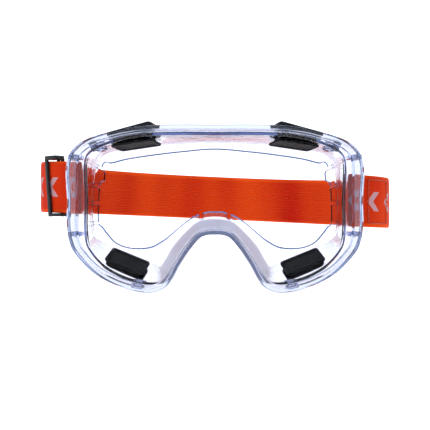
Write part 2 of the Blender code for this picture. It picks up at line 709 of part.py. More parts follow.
def make_pin(name, side, parts, material):
    """A turned clear pin with a head at each end, held by the two arms of a lug."""
    top = SLOT_TOP + LUG_THICK + GAP
    bottom = SLOT_BOTTOM - LUG_THICK - GAP
    profile = ((0.0, top + PIN_HEAD), (PIN_HEAD_RADIUS, top + PIN_HEAD), (PIN_HEAD_RADIUS, top),
               (PIN_RADIUS, top), (PIN_RADIUS, bottom), (PIN_HEAD_RADIUS, bottom),
               (PIN_HEAD_RADIUS, bottom - PIN_HEAD), (0.0, bottom - PIN_HEAD))
    mesh = bpy.data.meshes.new(name)
    verts = [(r / 1000.0, 0.0, (z - SLOT_MID) / 1000.0) for r, z in profile]
    mesh.from_pydata(verts, [(i, i + 1) for i in range(len(verts) - 1)], [])
    pin = add_object(name, mesh, parts, material)
    pin.location = at(side * PIN_X, PIN_Y, SLOT_MID)
    turn = pin.modifiers.new("turned", "SCREW")
    turn.steps = turn.render_steps = 16
    turn.use_merge_vertices = True
    turn.merge_threshold = 0.00001
    return pin


def joint_empty(name, place, parts):
    empty = bpy.data.objects.new(name, None)
    empty.location = place
    empty.empty_display_size = 0.02
    parts.objects.link(empty)
    return empty


def hang_on(thing, empty):
    """Parent without moving the piece."""
    thing.parent = empty
    bpy.context.view_layer.update()
    thing.matrix_parent_inverse = empty.matrix_world.inverted()


def main():
    clear_scene()
    parts = new_collection("safety_goggles")
    cutters = new_collection("cutters")
    clear_soft = make_material("clear_soft_plastic", (0.86, 0.9, 0.96), 0.12, alpha=0.35)
    clear_hard = make_material("clear_lens", (0.95, 0.97, 1.0), 0.03, alpha=0.18)
    black = make_material("black_plastic", (0.02, 0.02, 0.022), 0.55)
    webbing = make_material("orange_webbing", (0.75, 0.14, 0.01), 0.85)
    thread = make_material("orange_thread", (0.62, 0.1, 0.01), 0.8)

    make_frame(parts, cutters, clear_soft)
    make_lens(parts, cutters, clear_hard)
    make_vents(parts, cutters, black, black)
    for name, side in (("strap_pin_left", -1), ("strap_pin_right", 1)):
        make_pin(name, side, parts, clear_soft)
    _, moving = make_strap(parts, webbing)
    moving.append(make_stitching(parts, cutters, thread))
    slider = make_slider(parts, cutters, black)

    swing = joint_empty("strap_swing_axis", at(0.0, PIN_Y, STRAP_MID), parts)
    travel = joint_empty("slider_travel_axis", at(-BEND_CENTRE[0], BEND_CENTRE[1], STRAP_MID), parts)
    bpy.context.view_layer.update()
    for thing in moving:
        hang_on(thing, swing)
    hang_on(travel, swing)
    hang_on(slider, travel)


main()
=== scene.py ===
# %% [markdown]
# # Clear safety goggles, seen and touched
#
# The pair is built round a packed mechanical model: a soft clear frame that holds a wrapped lens, four
# covered vents, two pins, and an elastic strap with a slider. That model fixes every size and every joint.
# This lesson gives each piece the surface that the hand and eye expect: clear vinyl that goes blue where
# it is thick, a hard thin lens, matt black mouldings and ribbed webbing.
#
# Nearly every piece is a sheet of points worked out with numpy. A grid of points is enough to describe a
# rim, a strap or a pin, and it stays easy to change.

# %% Load the mechanical model
import math

import bpy
import numpy as np
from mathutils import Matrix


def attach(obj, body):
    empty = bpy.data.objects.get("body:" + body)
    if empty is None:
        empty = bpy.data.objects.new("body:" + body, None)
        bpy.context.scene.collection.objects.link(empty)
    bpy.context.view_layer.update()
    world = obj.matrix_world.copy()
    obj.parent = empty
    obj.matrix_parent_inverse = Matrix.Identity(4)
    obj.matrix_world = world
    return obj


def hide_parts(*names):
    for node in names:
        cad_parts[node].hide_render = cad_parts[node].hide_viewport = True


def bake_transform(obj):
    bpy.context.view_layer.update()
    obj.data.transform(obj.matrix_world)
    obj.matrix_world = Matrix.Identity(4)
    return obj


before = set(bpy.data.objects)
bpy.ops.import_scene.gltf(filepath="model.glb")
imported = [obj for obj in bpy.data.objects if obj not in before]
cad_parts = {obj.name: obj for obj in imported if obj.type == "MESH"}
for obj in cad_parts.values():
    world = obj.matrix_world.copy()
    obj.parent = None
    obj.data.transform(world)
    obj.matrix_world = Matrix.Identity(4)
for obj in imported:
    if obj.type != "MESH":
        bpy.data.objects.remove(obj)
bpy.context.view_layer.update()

# %% [markdown]
# ## One drawing for every piece
#
# Distances are in millimetres from the foremost point of the rim at the wearer's eye line: x to the side,
# y back towards the face, z up. That is how a mould maker would measure the frame. `place` turns a drawing
# point into the model's own metres, whose origin is the flat forehead seal.

# %% The drawing's sizes
SEAL_DEPTH = 36.0
SEAL_HEIGHT = 39.783
HALF_WIDTH = 83.6
HEIGHT = 89.4
LENS_RADIUS = 137.0
RIM_LIP, RIM_WALL, RIM_DEPTH = 1.6, 2.0, 6.2
LENS_THICK = 2.0
SHELL_WALL, FLANGE = 1.4, 1.5
SEAL_FLAT, FACE_RADIUS = 20.0, 85.0


def place(points):
    """Drawing millimetres to the model's metres: (x, y - seal depth, z - seal height) / 1000."""
    return (np.asarray(points, float) - (0.0, SEAL_DEPTH, SEAL_HEIGHT)) / 1000.0


# %% [markdown]
# ## From a grid of points to a piece
#
# A surface here is a grid: one row of points for each step along the piece, one column for each step
# around it. Closed pieces join their last column to their first. Where a row shrinks to a point or folds
# flat, its doubled points are made one, so the skin is closed and light bends through it properly.

# %% Grid to mesh
def signed_volume(points, quads):
    """Sum over faces of corner . (corner x corner) / 6, positive when the faces look outwards."""
    a, b, c, d = (points[quads[:, k]] for k in range(4))
    return (np.einsum("ij,ij->", a, np.cross(b, c)) + np.einsum("ij,ij->", a, np.cross(c, d))) / 6.0


def surface(name, grid, material, along=False, uv=None, crease=35.0, marks=None):
    """A closed skin through grid[row, column]: face (r, c) joins (r, c), (r, c+1), (r+1, c+1), (r+1, c).

    The last column meets the first. The last row meets the first when along is true. uv has one more
    column than the grid, so a pattern can run right round. Edges sharper than crease stay crisp. marks
    maps an attribute's name to one value per grid point.
    """
    rows, columns = grid.shape[:2]
    r = np.arange(rows if along else rows - 1)[:, None]
    c = np.arange(columns)[None, :]
    after, beside = (r + 1) % rows, (c + 1) % columns
    corner = np.stack([r * columns + c, r * columns + beside, after * columns + beside,
                       after * columns + c], -1).reshape(-1, 4)
    if uv is not None:
        wide = columns + 1
        spot = np.stack([r * wide + c, r * wide + c + 1, (r + 1) * wide + c + 1, (r + 1) * wide + c],
                        -1).reshape(-1, 4)
        uv = uv.reshape(-1, 2)
    points = place(grid).reshape(-1, 3)
    _, first, index = np.unique(np.round(points * 2e6).astype(np.int64), axis=0, return_index=True,
                                return_inverse=True)
    points, corner = points[first], index.reshape(-1)[corner]
    if signed_volume(points, corner) < 0:
        corner = corner[:, ::-1]
        spot = spot[:, ::-1] if uv is not None else None
    keep = corner != np.roll(corner, -1, axis=1)
    folded = (corner[:, 0] == corner[:, 2]) | (corner[:, 1] == corner[:, 3])
    keep[folded | (keep.sum(1) < 3)] = False
    count = keep.sum(1)
    count = count[count > 0]
    mesh = bpy.data.meshes.new(name)
    mesh.vertices.add(len(points))
    mesh.vertices.foreach_set("co", points.astype(np.float32).ravel())
    mesh.loops.add(int(count.sum()))
    mesh.loops.foreach_set("vertex_index", corner[keep].astype(np.int32))
    mesh.polygons.add(len(count))
    mesh.polygons.foreach_set("loop_start", np.concatenate([[0], np.cumsum(count)[:-1]]).astype(np.int32))
    mesh.update(calc_edges=True)
    if uv is not None:
        layer = mesh.uv_layers.new(name="along_across")
        layer.data.foreach_set("uv", uv[spot[keep]].astype(np.float32).ravel())
    for label, values in (marks or {}).items():
        store = mesh.attributes.new(label, "FLOAT", "POINT")
        store.data.foreach_set("value", values.reshape(-1)[first].astype(np.float32))
    mesh.shade_smooth()
    mesh.set_sharp_from_angle(angle=math.radians(crease))
    mesh.materials.append(material)
    piece = bpy.data.objects.new(name, mesh)
    bpy.context.scene.collection.objects.link(piece)
    print(f"{name}: {len(points)} points, {len(count)} faces")
    return piece


def fit(piece, body, slot, *nodes):
    """Fasten a piece to a moving body and let it stand for these model nodes, which are hidden. The slot argument is
    not used.
    """
    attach(piece, body)
    if nodes:
        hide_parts(*nodes)
    return piece


# %% [markdown]
# ## Finishes
#
# The frame is soft clear vinyl. Thin walls look nearly colourless, and edges where light runs a long way through the
# plastic turn grey-blue. A tint that grows with distance, a volume absorption, does that by itself, so every fold and
# rib darkens somewhat. Along free edges, folds, slit sides and a few rim corners, dark lines are also painted into the
# colour: painted shade for the darkening that refraction makes there.

# %% Clear plastics
def new_material(name):
    material = bpy.data.materials.new(name)
    material.use_nodes = True
    return material, material.node_tree.nodes, material.node_tree.links, \
        material.node_tree.nodes["Principled BSDF"]


def clear_plastic(name, tint, density, roughness, ior, wave, line=(0.05, 0.11, 0.28)):
    """Glass-like plastic: a Principled surface that passes light, over a volume that soaks some up. Where the mesh's
    edge value is above 0, as along thin free edges, the surface takes the line colour: painted shade, dark lines for
    the darkening that refraction makes along edges and folds. Where its frost value is above 0 the surface is
    sand-blasted: rougher and a little greyer."""
    material, nodes, links, skin = new_material(name)
    mark = nodes.new("ShaderNodeAttribute")
    mark.attribute_name = "edge"
    # Painted shade: the edge value mixes the dark line colour into the surface colour.
    painted_edge_shade_mix = nodes.new("ShaderNodeMix")
    painted_edge_shade_mix.data_type = "RGBA"
    painted_edge_shade_mix.inputs["A"].default_value = (0.965, 0.948, 0.962, 1.0)
    painted_edge_shade_mix.inputs["B"].default_value = (*line, 1.0)
    links.new(mark.outputs["Fac"], painted_edge_shade_mix.inputs["Factor"])
    frost = nodes.new("ShaderNodeAttribute")
    frost.attribute_name = "frost"
    haze = nodes.new("ShaderNodeMix")
    haze.data_type = "RGBA"
    haze.inputs["B"].default_value = (0.955, 0.94, 0.945, 1.0)
    grind = nodes.new("ShaderNodeMapRange")
    grind.inputs["To Min"].default_value, grind.inputs["To Max"].default_value = roughness, 0.42
    links.new(frost.outputs["Fac"], haze.inputs["Factor"])
    links.new(painted_edge_shade_mix.outputs["Result"], haze.inputs["A"])
    links.new(haze.outputs["Result"], skin.inputs["Base Color"])
    links.new(frost.outputs["Fac"], grind.inputs["Value"])
    links.new(grind.outputs["Result"], skin.inputs["Roughness"])
    skin.inputs["Transmission Weight"].default_value = 1.0
    skin.inputs["IOR"].default_value = ior
    soak = nodes.new("ShaderNodeVolumeAbsorption")
    soak.inputs["Color"].default_value = (*tint, 1.0)
    soak.inputs["Density"].default_value = density
    links.new(soak.outputs[0], nodes["Material Output"].inputs["Volume"])
    where = nodes.new("ShaderNodeTexCoord")
    swell = nodes.new("ShaderNodeTexNoise")
    swell.inputs["Scale"].default_value = 95.0
    swell.inputs["Detail"].default_value = 2.0
    bump = nodes.new("ShaderNodeBump")
    bump.inputs["Strength"].default_value = wave
    bump.inputs["Distance"].default_value = 0.0006
    links.new(where.outputs["Object"], swell.inputs["Vector"])
    links.new(swell.outputs["Fac"], bump.inputs["Height"])
    links.new(bump.outputs["Normal"], skin.inputs["Normal"])
    return material


clear_vinyl = clear_plastic("clear_vinyl", (0.06, 0.26, 0.62), 88.0, 0.03, 1.40, 0.2)
stiff_vinyl = clear_plastic("clear_vinyl_block", (0.05, 0.18, 0.50), 170.0, 0.05, 1.46, 0.2)
clear_lens_finish = clear_plastic("clear_lens_polycarbonate", (0.6, 0.72, 0.9), 4.0, 0.0, 1.06, 0.0)
clear_pin_finish = clear_plastic("clear_pin_acrylic", (0.10, 0.2, 0.5), 110.0, 0.05, 1.40, 0.1)
print("clear finishes:", clear_vinyl.name, clear_lens_finish.name, clear_pin_finish.name)

# %% [markdown]
# ## The frame's outline
#
# One half of the frame is a table of stations from the brow, down the temple, under the cheek and up to
# the nose. At each station it gives the front rim, the fold at the back of the wall, and the free edge of
# the soft flange that touches the face. A smooth curve through the table makes the whole loop.

# %% The outline and its curve
OUTLINE = np.array((
    (0.000, 0.534, 3.6, 3.4, 0.000, 0.475, 0.000, 0.415),
    (0.224, 0.537, 3.6, 3.4, 0.228, 0.469, 0.228, 0.398),
    (0.416, 0.536, 3.6, 3.4, 0.427, 0.458, 0.427, 0.377),
    (0.590, 0.523, 3.8, 3.4, 0.600, 0.438, 0.600, 0.356),
    (0.754, 0.493, 4.2, 3.8, 0.742, 0.416, 0.718, 0.334),
    (0.880, 0.458, 5.2, 4.8, 0.797, 0.386, 0.762, 0.342),
    (0.968, 0.397, 6.4, 6.4, 0.836, 0.334, 0.786, 0.313),
    (1.007, 0.290, 6.8, 7.6, 0.866, 0.243, 0.800, 0.216),
    (0.997, 0.094, 6.2, 7.5, 0.882, 0.098, 0.810, 0.098),
    (1.000, -0.063, 6.2, 7.4, 0.876, -0.046, 0.812, -0.046),
    (0.972, -0.188, 5.8, 6.4, 0.848, -0.151, 0.782, -0.078),
    (0.904, -0.273, 5.2, 4.8, 0.786, -0.189, 0.749, -0.117),
    (0.781, -0.367, 4.8, 4.0, 0.705, -0.217, 0.682, -0.178),
    (0.615, -0.434, 4.6, 3.6, 0.581, -0.257, 0.581, -0.209),
    (0.437, -0.464, 4.4, 3.4, 0.449, -0.313, 0.449, -0.204),
    (0.333, -0.438, 4.0, 2.6, 0.372, -0.339, 0.359, -0.163),
    (0.275, -0.378, 3.6, 1.6, 0.324, -0.287, 0.297, -0.119),
    (0.224, -0.295, 3.2, 1.0, 0.276, -0.210, 0.242, -0.075),
    (0.160, -0.206, 3.2, 0.8, 0.201, -0.128, 0.188, -0.035),
    (0.098, -0.139, 3.2, 0.8, 0.120, -0.060, 0.133, -0.003),
    (0.047, -0.119, 3.2, 0.8, 0.051, -0.041, 0.051, 0.022),
    (0.000, -0.117, 3.2, 0.8, 0.000, -0.038, 0.000, 0.022),
))
MIRROR = np.array((-1, 1, 1, 1, -1, 1, -1, 1))
ROWS = np.vstack((OUTLINE, OUTLINE[-2:0:-1] * MIRROR))
ROWS[:, (0, 4, 6)] *= HALF_WIDTH
ROWS[:, (1, 5, 7)] *= HEIGHT
LOOP = len(ROWS)


def outline(t):
    """Catmull-Rom through the table: half of 2b + (c-a)f + (2a-5b+4c-d)f^2 + (3b-a-3c+d)f^3."""
    i = np.floor(t).astype(int)
    f = (t - i)[:, None]
    a, b, c, d = (ROWS[(i + k) % LOOP] for k in (-1, 0, 1, 2))
    return 0.5 * (2 * b + (c - a) * f + (2 * a - 5 * b + 4 * c - d) * f ** 2
                  + (3 * b - a - 3 * c + d) * f ** 3)


def inward(t, column):
    """Unit vectors in the front view, square to the outline in these columns and pointing inwards."""
    ahead = (outline(t + 0.05) - outline(t - 0.05))[:, column:column + 2]
    ahead /= np.linalg.norm(ahead, axis=1, keepdims=True)
    return np.stack([ahead[:, 1], -ahead[:, 0]], 1)


def rim_depth(x):
    """How far the round front lies behind its middle: R - sqrt(R^2 - x^2)."""
    return LENS_RADIUS - np.sqrt(LENS_RADIUS ** 2 - x * x)


def face_depth(x):
    """The face seal: straight across the forehead, then round the head on its own radius."""
    past = np.maximum(0.0, np.abs(x) - SEAL_FLAT)
    return SEAL_DEPTH + FACE_RADIUS - np.sqrt(FACE_RADIUS ** 2 - past * past)


def on_rim(t, inset, depth):
    """A point this far in from the rim's edge, then straight in from its round front."""
    flat = outline(t)[:, 0:2] + inward(t, 0) * np.reshape(inset, (-1, 1))
    lean = flat[:, 0] / LENS_RADIUS
    return np.stack([flat[:, 0] - depth * lean,
                     rim_depth(flat[:, 0]) + depth * np.sqrt(1 - lean * lean), flat[:, 1]], 1)


def on_fold(t, inset, depth):
    """A point by the wall's back fold: this far in from it, and this far behind the face seal."""
    flat = outline(t)[:, 4:6] + inward(t, 4) * np.reshape(inset, (-1, 1))
    return np.stack([flat[:, 0], face_depth(flat[:, 0]) + depth, flat[:, 1]], 1)


def mix(a, b, share):
    """Straight line from a to b."""
    share = np.asarray(share, float)
    share = share.reshape(-1, 1) if share.ndim else share
    return a + (b - a) * share


def smooth(low, high, value):
    """0 below low, 1 above high, 3f^2 - 2f^3 between."""
    f = np.clip((np.asarray(value, float) - low) / (high - low), 0.0, 1.0)
    return f * f * (3 - 2 * f)


print("outline stations:", LOOP, "widest half:", round(float(outline(np.linspace(0, LOOP, 2000))[:, 0].max()), 2))

# %% [markdown]
# ## The soft frame
#
# The frame is one moulding: a square-edged rim with a groove for the lens, a wall that runs back to the
# face, and a thin flange that turns in to seal on the skin. Slits at the temples and beside the nose split
# the flange into tabs so it can bend. The whole moulding is one closed section carried round the outline.
# A slit is only a place where the flange's free edge steps back to the wall and out again.

# %% Slits and tabs along the flange
TEMPLE_SLITS = np.array((0.325, 0.205, 0.078, -0.056)) * HEIGHT
SLIT_HALF, SLIT_SIDE = 0.8, 0.12
NOSE_SLIT = 7.2


def slit_places():
    """Where along the outline each slit lies, and half its width there, in outline steps."""
    t = np.linspace(5.0, 11.0, 2401)
    z = outline(t)[:, 5]
    found = np.interp(-TEMPLE_SLITS, -z, t)
    pace = np.abs(np.interp(found, t, np.gradient(z, t)))
    t2 = np.linspace(18.5, 20.9, 1601)
    x = outline(t2)[:, 4]
    nose = np.interp(-NOSE_SLIT, -x, t2)
    pace2 = abs(np.interp(nose, t2, np.gradient(x, t2)))
    middle = np.append(found, nose)
    half = np.append(SLIT_HALF / pace, SLIT_HALF / pace2)
    side = np.append(SLIT_SIDE / pace, SLIT_SIDE / pace2)
    return (np.concatenate([middle, LOOP - middle]), np.concatenate([half, half]),
            np.concatenate([side, side]))


slit_t, slit_half, slit_side = slit_places()


def slit_share(t):
    """1 in the middle of a slit, 0 on the tabs, with short steep sides."""
    away = np.abs(t[:, None] - slit_t[None, :])
    return np.clip(1 - (away - slit_half) / slit_side, 0, 1).max(1)


def slit_side_shade(t):
    """1 on the two sides of a slit, falling to 0 within 0.6 mm: where its thin cut faces show, and where a line of
    painted shade darkens them.
    """
    away = np.abs(t[:, None] - slit_t[None, :]) * SLIT_HALF / slit_half
    return np.clip(1 - np.abs(away - SLIT_HALF - 0.06) / 0.6, 0, 1).max(1)


def frame_stations():
    """Even steps round the outline, with closer ones at both sides of each slit."""
    even = np.linspace(0, LOOP, 841)[:-1]
    edges = [slit_t + s * (slit_half + e * slit_side) for s in (-1, 1) for e in (-3.4, -1.6, 0.0, 0.5, 1.0, 2.6, 4.4)]
    return np.unique(np.round(np.concatenate([even, *edges]) % LOOP, 6))


print("slits:", len(slit_t), "stations:", len(frame_stations()))


# %% The frame's section
def bend(t, a, b, c, radius, steps=3):
    """Round the corner b between a and c: a parabola that starts and ends radius away from b."""
    to_a = a - b
    to_c = c - b
    length_a = np.linalg.norm(to_a, axis=1, keepdims=True)
    length_c = np.linalg.norm(to_c, axis=1, keepdims=True)
    start = b + to_a * np.minimum(radius / length_a, 0.49)
    end = b + to_c * np.minimum(radius / length_c, 0.49)
    return [start * (1 - f) ** 2 + b * 2 * f * (1 - f) + end * f ** 2 for f in np.linspace(0, 1, steps + 1)]


def tab_reach(t):
    """The top temple tab reaches further in than the others: a low hump along the edge, in mm."""
    z = outline(t)[:, 7] / HEIGHT
    side = smooth(0.62, 0.74, np.abs(outline(t)[:, 6]) / HALF_WIDTH)
    return 2.6 * side * smooth(0.212, 0.225, z) * (1 - smooth(0.27, 0.318, z))


def frame_corners(t):
    """The section's corners as arrays of points: round the rim, down the inside, round the flange, up
    the outside. Each is (points, corner radius)."""
    row = outline(t)
    lip, inset = row[:, 2], row[:, 3]
    rear = np.maximum(4.2, inset + SHELL_WALL + 0.6)
    slit = slit_share(t)
    groove = RIM_LIP + LENS_THICK + 0.6
    edge = row[:, 6:8] + inward(t, 6) * tab_reach(t)[:, None]
    fold = on_fold(t, 0.0, 0.0)
    free = np.stack([edge[:, 0], face_depth(edge[:, 0]), edge[:, 1]], 1)
    root = on_fold(t, SHELL_WALL + 0.5, 0.0)
    free = mix(free, root, slit)
    back = np.array((0.0, -FLANGE, 0.0))
    return [
        (on_rim(t, 0.0, 0.0), 0.9), (on_rim(t, lip, 0.0), 0.7), (on_rim(t, lip, RIM_LIP), 0.12),
        (on_rim(t, RIM_WALL, RIM_LIP), 0.12), (on_rim(t, RIM_WALL, groove), 0.12),
        (on_rim(t, rear, groove), 0.3), (on_rim(t, rear, RIM_DEPTH), 0.7),
        (on_rim(t, inset + SHELL_WALL, RIM_DEPTH), 0.8), (on_fold(t, SHELL_WALL, -FLANGE), 1.0),
        (free + back, 0.7), (free, 0.7), (fold, 1.3), (on_rim(t, inset, RIM_DEPTH), 0.7),
        (on_rim(t, 0.0, RIM_DEPTH), 0.6),
    ]


def frame_grid(t):
    """Every corner of the section rounded off, with a few extra points on the long faces. Also the edge value, which
    paints shade: 1 along the flange's free edge and the sides of each slit, less along the fold and the rim, for dark
    lines where refraction darkens the real edges. And the frost value: 1 on the wall round the nose, less on the step
    behind the lens groove."""
    corners = frame_corners(t)
    count = len(corners)
    columns, marks, frost = [], [], []
    nose = smooth(14.2, 15.6, t) * (1 - smooth(LOOP - 15.6, LOOP - 14.2, t))
    matt = {5: 0.5 + 0.5 * nose, 6: 0.5 + 0.5 * nose, 7: nose, 8: nose, 11: nose, 12: nose}
    cut = slit_side_shade(t)
    temple = smooth(5.6, 6.6, t % LOOP) * (1 - smooth(10.0, 11.2, t % LOOP))
    temple = temple + smooth(LOOP - 11.2, LOOP - 10.0, t) * (1 - smooth(LOOP - 6.6, LOOP - 5.6, t))
    even = np.ones(len(t))
    # Painted shade: how dark a line each section corner gets in the edge value, standing in for refraction at the real
    # edges.
    edge_shade_strength = {0: 0.28 * even, 1: 0.2 * even, 6: 0.35 * temple, 7: 0.5 * temple, 9: even, 10: even,
                11: 0.14 * even, 13: 0.25 * even}
    for k, (b, radius) in enumerate(corners):
        a, c = corners[k - 1][0], corners[(k + 1) % count][0]
        turn = bend(t, a, b, c, radius)
        columns += turn
        mark = edge_shade_strength.get(k, np.zeros(len(t)))
        frost += [matt.get(k, 0.0 * nose)] * 4
        share = (1.0, 1.0, 1.0, 1.0) if k in (9, 10) else (0.0, 1.0, 1.0, 0.0)
        marks += [np.maximum(mark * s, cut if k in (8, 9, 10) else 0.0) for s in share]
        if k in (7, 8, 10, 11):
            nxt, r2 = corners[(k + 1) % count]
            d = corners[(k + 2) % count][0]
            begin = bend(t, b, nxt, d, r2)[0]
            columns += [mix(turn[-1], begin, f) for f in (0.06, 0.35, 0.65, 0.94)]
            marks += [cut * {7: 0.6 * temple, 8: 1.0, 10: 1.0, 11: 0.3 * temple}[k]] * 4
            frost += [nose if k in (7, 11) else 0.0 * nose] * 4
    return np.stack(columns, 1), {"edge": np.stack(marks, 1), "frost": np.stack(frost, 1)}


grid, values = frame_grid(frame_stations())
shell = surface("frame_moulding", grid, clear_vinyl, along=True, crease=50, marks=values)
fit(shell, "frame", "clear_soft_plastic", "frame_body")

# %% [markdown]
# ## The lens
#
# The lens is a flat sheet of polycarbonate bent to a cylinder, cut to the rim's outline less the groove.
# Rings of points run from its edge to one point in the middle, front and back, so it is one closed sheet.

# %% The lens
LENS_MIDDLE = (0.0, 13.0)


def lens_grid():
    """Rings that shrink from the outline to the middle on the front, and grow again on the back."""
    t = np.linspace(0, LOOP, 421)[:-1]
    flat = outline(t)[:, 0:2] + inward(t, 0) * (RIM_WALL + 0.3)
    shares = np.linspace(0, 1, 15)
    front = [(s, RIM_LIP + 0.3) for s in shares]
    back = [(s, RIM_LIP + 0.3 + LENS_THICK) for s in shares[::-1]]
    rings = []
    for share, depth in front + back:
        spot = np.array(LENS_MIDDLE) + (flat - LENS_MIDDLE) * share
        lean = spot[:, 0] / LENS_RADIUS
        rings.append(np.stack([spot[:, 0] - depth * lean,
                               rim_depth(spot[:, 0]) + depth * np.sqrt(1 - lean * lean), spot[:, 1]], 1))
    return np.stack(rings)


lens = surface("lens_sheet", lens_grid(), clear_lens_finish, crease=50)
fit(lens, "frame", "clear_lens", "lens")

# %% [markdown]
# ## Lugs, pins and stiffening blocks
#
# Behind the rim at each temple two arms hold an upright clear pin, and the strap goes round it. Small
# blocks stiffen the corner between rim and wall. Light that runs the length of a block comes out blue.

# %% Slabs with rounded corners
def rounded_outline(a, b, radius, edge=8, arc=5):
    """A rounded rectangle a by b (half sizes): four quarter circles joined by straight, divided edges."""
    corners = []
    for turn, (sx, sy) in zip(range(4), ((1, 1), (-1, 1), (-1, -1), (1, -1))):
        angle = math.pi / 2 * (turn + np.linspace(0, 1, arc))
        corners.append(np.stack([sx * (a - radius) + radius * np.cos(angle),
                                 sy * (b - radius) + radius * np.sin(angle)], 1))
    share = np.linspace(0, 1, edge + 1)[1:-1][:, None]
    sides = [mix(corners[k][-1], corners[(k + 1) % 4][0], share[:, 0]) for k in range(4)]
    return np.concatenate([part for pair in zip(corners, sides) for part in pair])


def slab_rings(a, b, radius, profile):
    """Rings of a slab: each step of the profile is (inset, height, scale). A ring is the rounded
    rectangle drawn in by the inset, then scaled about the middle. Returns (rings, points, 3)."""
    rings = []
    for inset, height, scale in profile:
        ring = rounded_outline(a - inset, b - inset, max(0.15, radius - inset)) * scale
        rings.append(np.column_stack([ring, np.full(len(ring), height)]))
    return np.stack(rings)


def block_profile(low, high, soft):
    """A solid block: centre of the bottom, out, round the edge, up, round, and in to the top's centre."""
    return [(0, low, 0.0), (soft, low, 0.5), (soft, low, 1.0), (soft * 0.3, low + soft * 0.3, 1.0),
            (0, low + soft, 1.0), (0, high - soft, 1.0), (soft * 0.3, high - soft * 0.3, 1.0),
            (soft, high, 1.0), (soft, high, 0.5), (0, high, 0.0)]


PIN_X, PIN_Y = 79.2, 38.964
SLOT_TOP, SLOT_BOTTOM, ARM = 31.464, -9.464, 2.4
PIN_RADIUS, PIN_HEAD_RADIUS, PIN_HEAD, GAP = 1.6, 2.3, 0.9, 0.3


def arm_grid(side, low):
    """A lug arm: a rounded plate with the pin's hole. Rings go round the outside, over the top, down the
    hole and back underneath, so it closes on itself."""
    inner, outer = PIN_X - 4.8, PIN_X + 3.2
    front, back = float(rim_depth(inner)) + RIM_DEPTH - 1.4, PIN_Y + 3.2
    middle = np.array(((inner + outer) / 2, (front + back) / 2))
    half = np.array(((outer - inner) / 2, (back - front) / 2))
    rim = rounded_outline(half[0], half[1], 1.6, edge=6, arc=6)
    hole_at = np.array((PIN_X, PIN_Y)) - middle
    toward = rim - hole_at
    hole = hole_at + toward / np.linalg.norm(toward, axis=1, keepdims=True) * (PIN_RADIUS + GAP)
    steps = [(0.0, 0.4), (0.0, ARM - 0.4), (0.12, ARM - 0.12), (0.4, ARM), (1.0, None)]
    rings = [np.column_stack([rim * (1 - d / half.max()), np.full(len(rim), h)]) for d, h in steps[:4]]
    rings += [np.column_stack([hole, np.full(len(rim), ARM)]), np.column_stack([hole, np.zeros(len(rim))]),
              np.column_stack([rim * (1 - 0.4 / half.max()), np.zeros(len(rim))]),
              np.column_stack([rim * (1 - 0.12 / half.max()), np.full(len(rim), 0.12)])]
    grid = np.stack(rings) + np.array((*middle, low))
    grid[..., 0] *= side
    return grid


def pin_grid(side):
    """A pin turned on an upright axis: a profile of radius against height, with softened heads."""
    top, bottom = SLOT_TOP + ARM + GAP, SLOT_BOTTOM - ARM - GAP
    head, soft = PIN_HEAD_RADIUS, 0.3
    profile = np.array([(0.0, top + PIN_HEAD), (head - soft, top + PIN_HEAD), (head - 0.08, top + PIN_HEAD - 0.1),
                        (head, top + PIN_HEAD - soft), (head, top + 0.1), (head - 0.1, top), (PIN_RADIUS, top),
                        (PIN_RADIUS, top - 1.0), (PIN_RADIUS, bottom + 1.0), (PIN_RADIUS, bottom),
                        (head - 0.1, bottom), (head, bottom - 0.1), (head, bottom - PIN_HEAD + soft),
                        (head - 0.08, bottom - PIN_HEAD + 0.1), (head - soft, bottom - PIN_HEAD),
                        (0.0, bottom - PIN_HEAD)])
    angle = np.linspace(0, 2 * math.pi, 33)[:-1]
    return np.stack([side * PIN_X + profile[:, :1] * np.cos(angle), PIN_Y + profile[:, :1] * np.sin(angle),
                     np.broadcast_to(profile[:, 1:], (len(profile), len(angle)))], 2)


for side, label in ((-1, "left"), (1, "right")):
    for low, level in ((SLOT_TOP, "top"), (SLOT_BOTTOM - ARM, "bottom")):
        arm = surface(f"lug_arm_{level}_{label}", arm_grid(side, low), clear_vinyl, along=True, crease=40)
        fit(arm, "frame", "clear_soft_plastic")
    pin = surface(f"pin_{label}", pin_grid(side), clear_pin_finish, crease=30)
    fit(pin, "frame", "clear_pin", f"strap_pin_{label}")


# %% Stiffening blocks behind the rim
def on_rim_many(t, inset, depth):
    """on_rim for a separate depth at each point."""
    flat = outline(t)[:, 0:2] + inward(t, 0) * inset[:, None]
    lean = flat[:, 0] / LENS_RADIUS
    return np.stack([flat[:, 0] - depth * lean,
                     rim_depth(flat[:, 0]) + depth * np.sqrt(1 - lean * lean), flat[:, 1]], 1)


def block_grid(x, span, wide, insets, depths):
    """Find the station with this x inside a span of the outline, and set a rim block there."""
    t = np.linspace(*span, 400)
    middle = float(t[np.argmin(np.abs(outline(t)[:, 0] - x))])
    near = outline(np.array([middle - 0.05, middle + 0.05]))[:, :2]
    pace = float(np.linalg.norm(near[1] - near[0])) / 0.1
    rings = slab_rings(wide / 2, (insets[1] - insets[0]) / 2, 0.8, block_profile(*depths, 0.4))
    flat = rings.reshape(-1, 3)
    points = on_rim_many(middle + flat[:, 0] / pace, flat[:, 1] + sum(insets) / 2, flat[:, 2])
    return points.reshape(rings.shape)


BLOCKS = {"brow": (40.3, (1.0, 3.0), 3.4, (0.9, 5.0), (5.9, 13.0)),
          "corner": (71.6, (4.0, 5.9), 5.0, (0.9, 6.0), (5.9, 15.0)),
          "cheek": (44.5, (13.0, 15.0), 6.2, (0.9, 4.6), (5.9, 12.0))}
for level, (x, span, wide, insets, depths) in BLOCKS.items():
    for side, label in ((-1, "left"), (1, "right")):
        grid = block_grid(x, span, wide, insets, depths)
        grid[..., 0] *= side
        fit(surface(f"rim_block_{level}_{label}", grid, stiff_vinyl, crease=40), "frame", "clear_soft_plastic")

# %% [markdown]
# ## Vents
#
# Air comes in under a black hood outside the wall and leaves round a bordered plate inside it, so a splash
# can't go straight through. Both lie along the plane that touches the wall at the vent's middle.

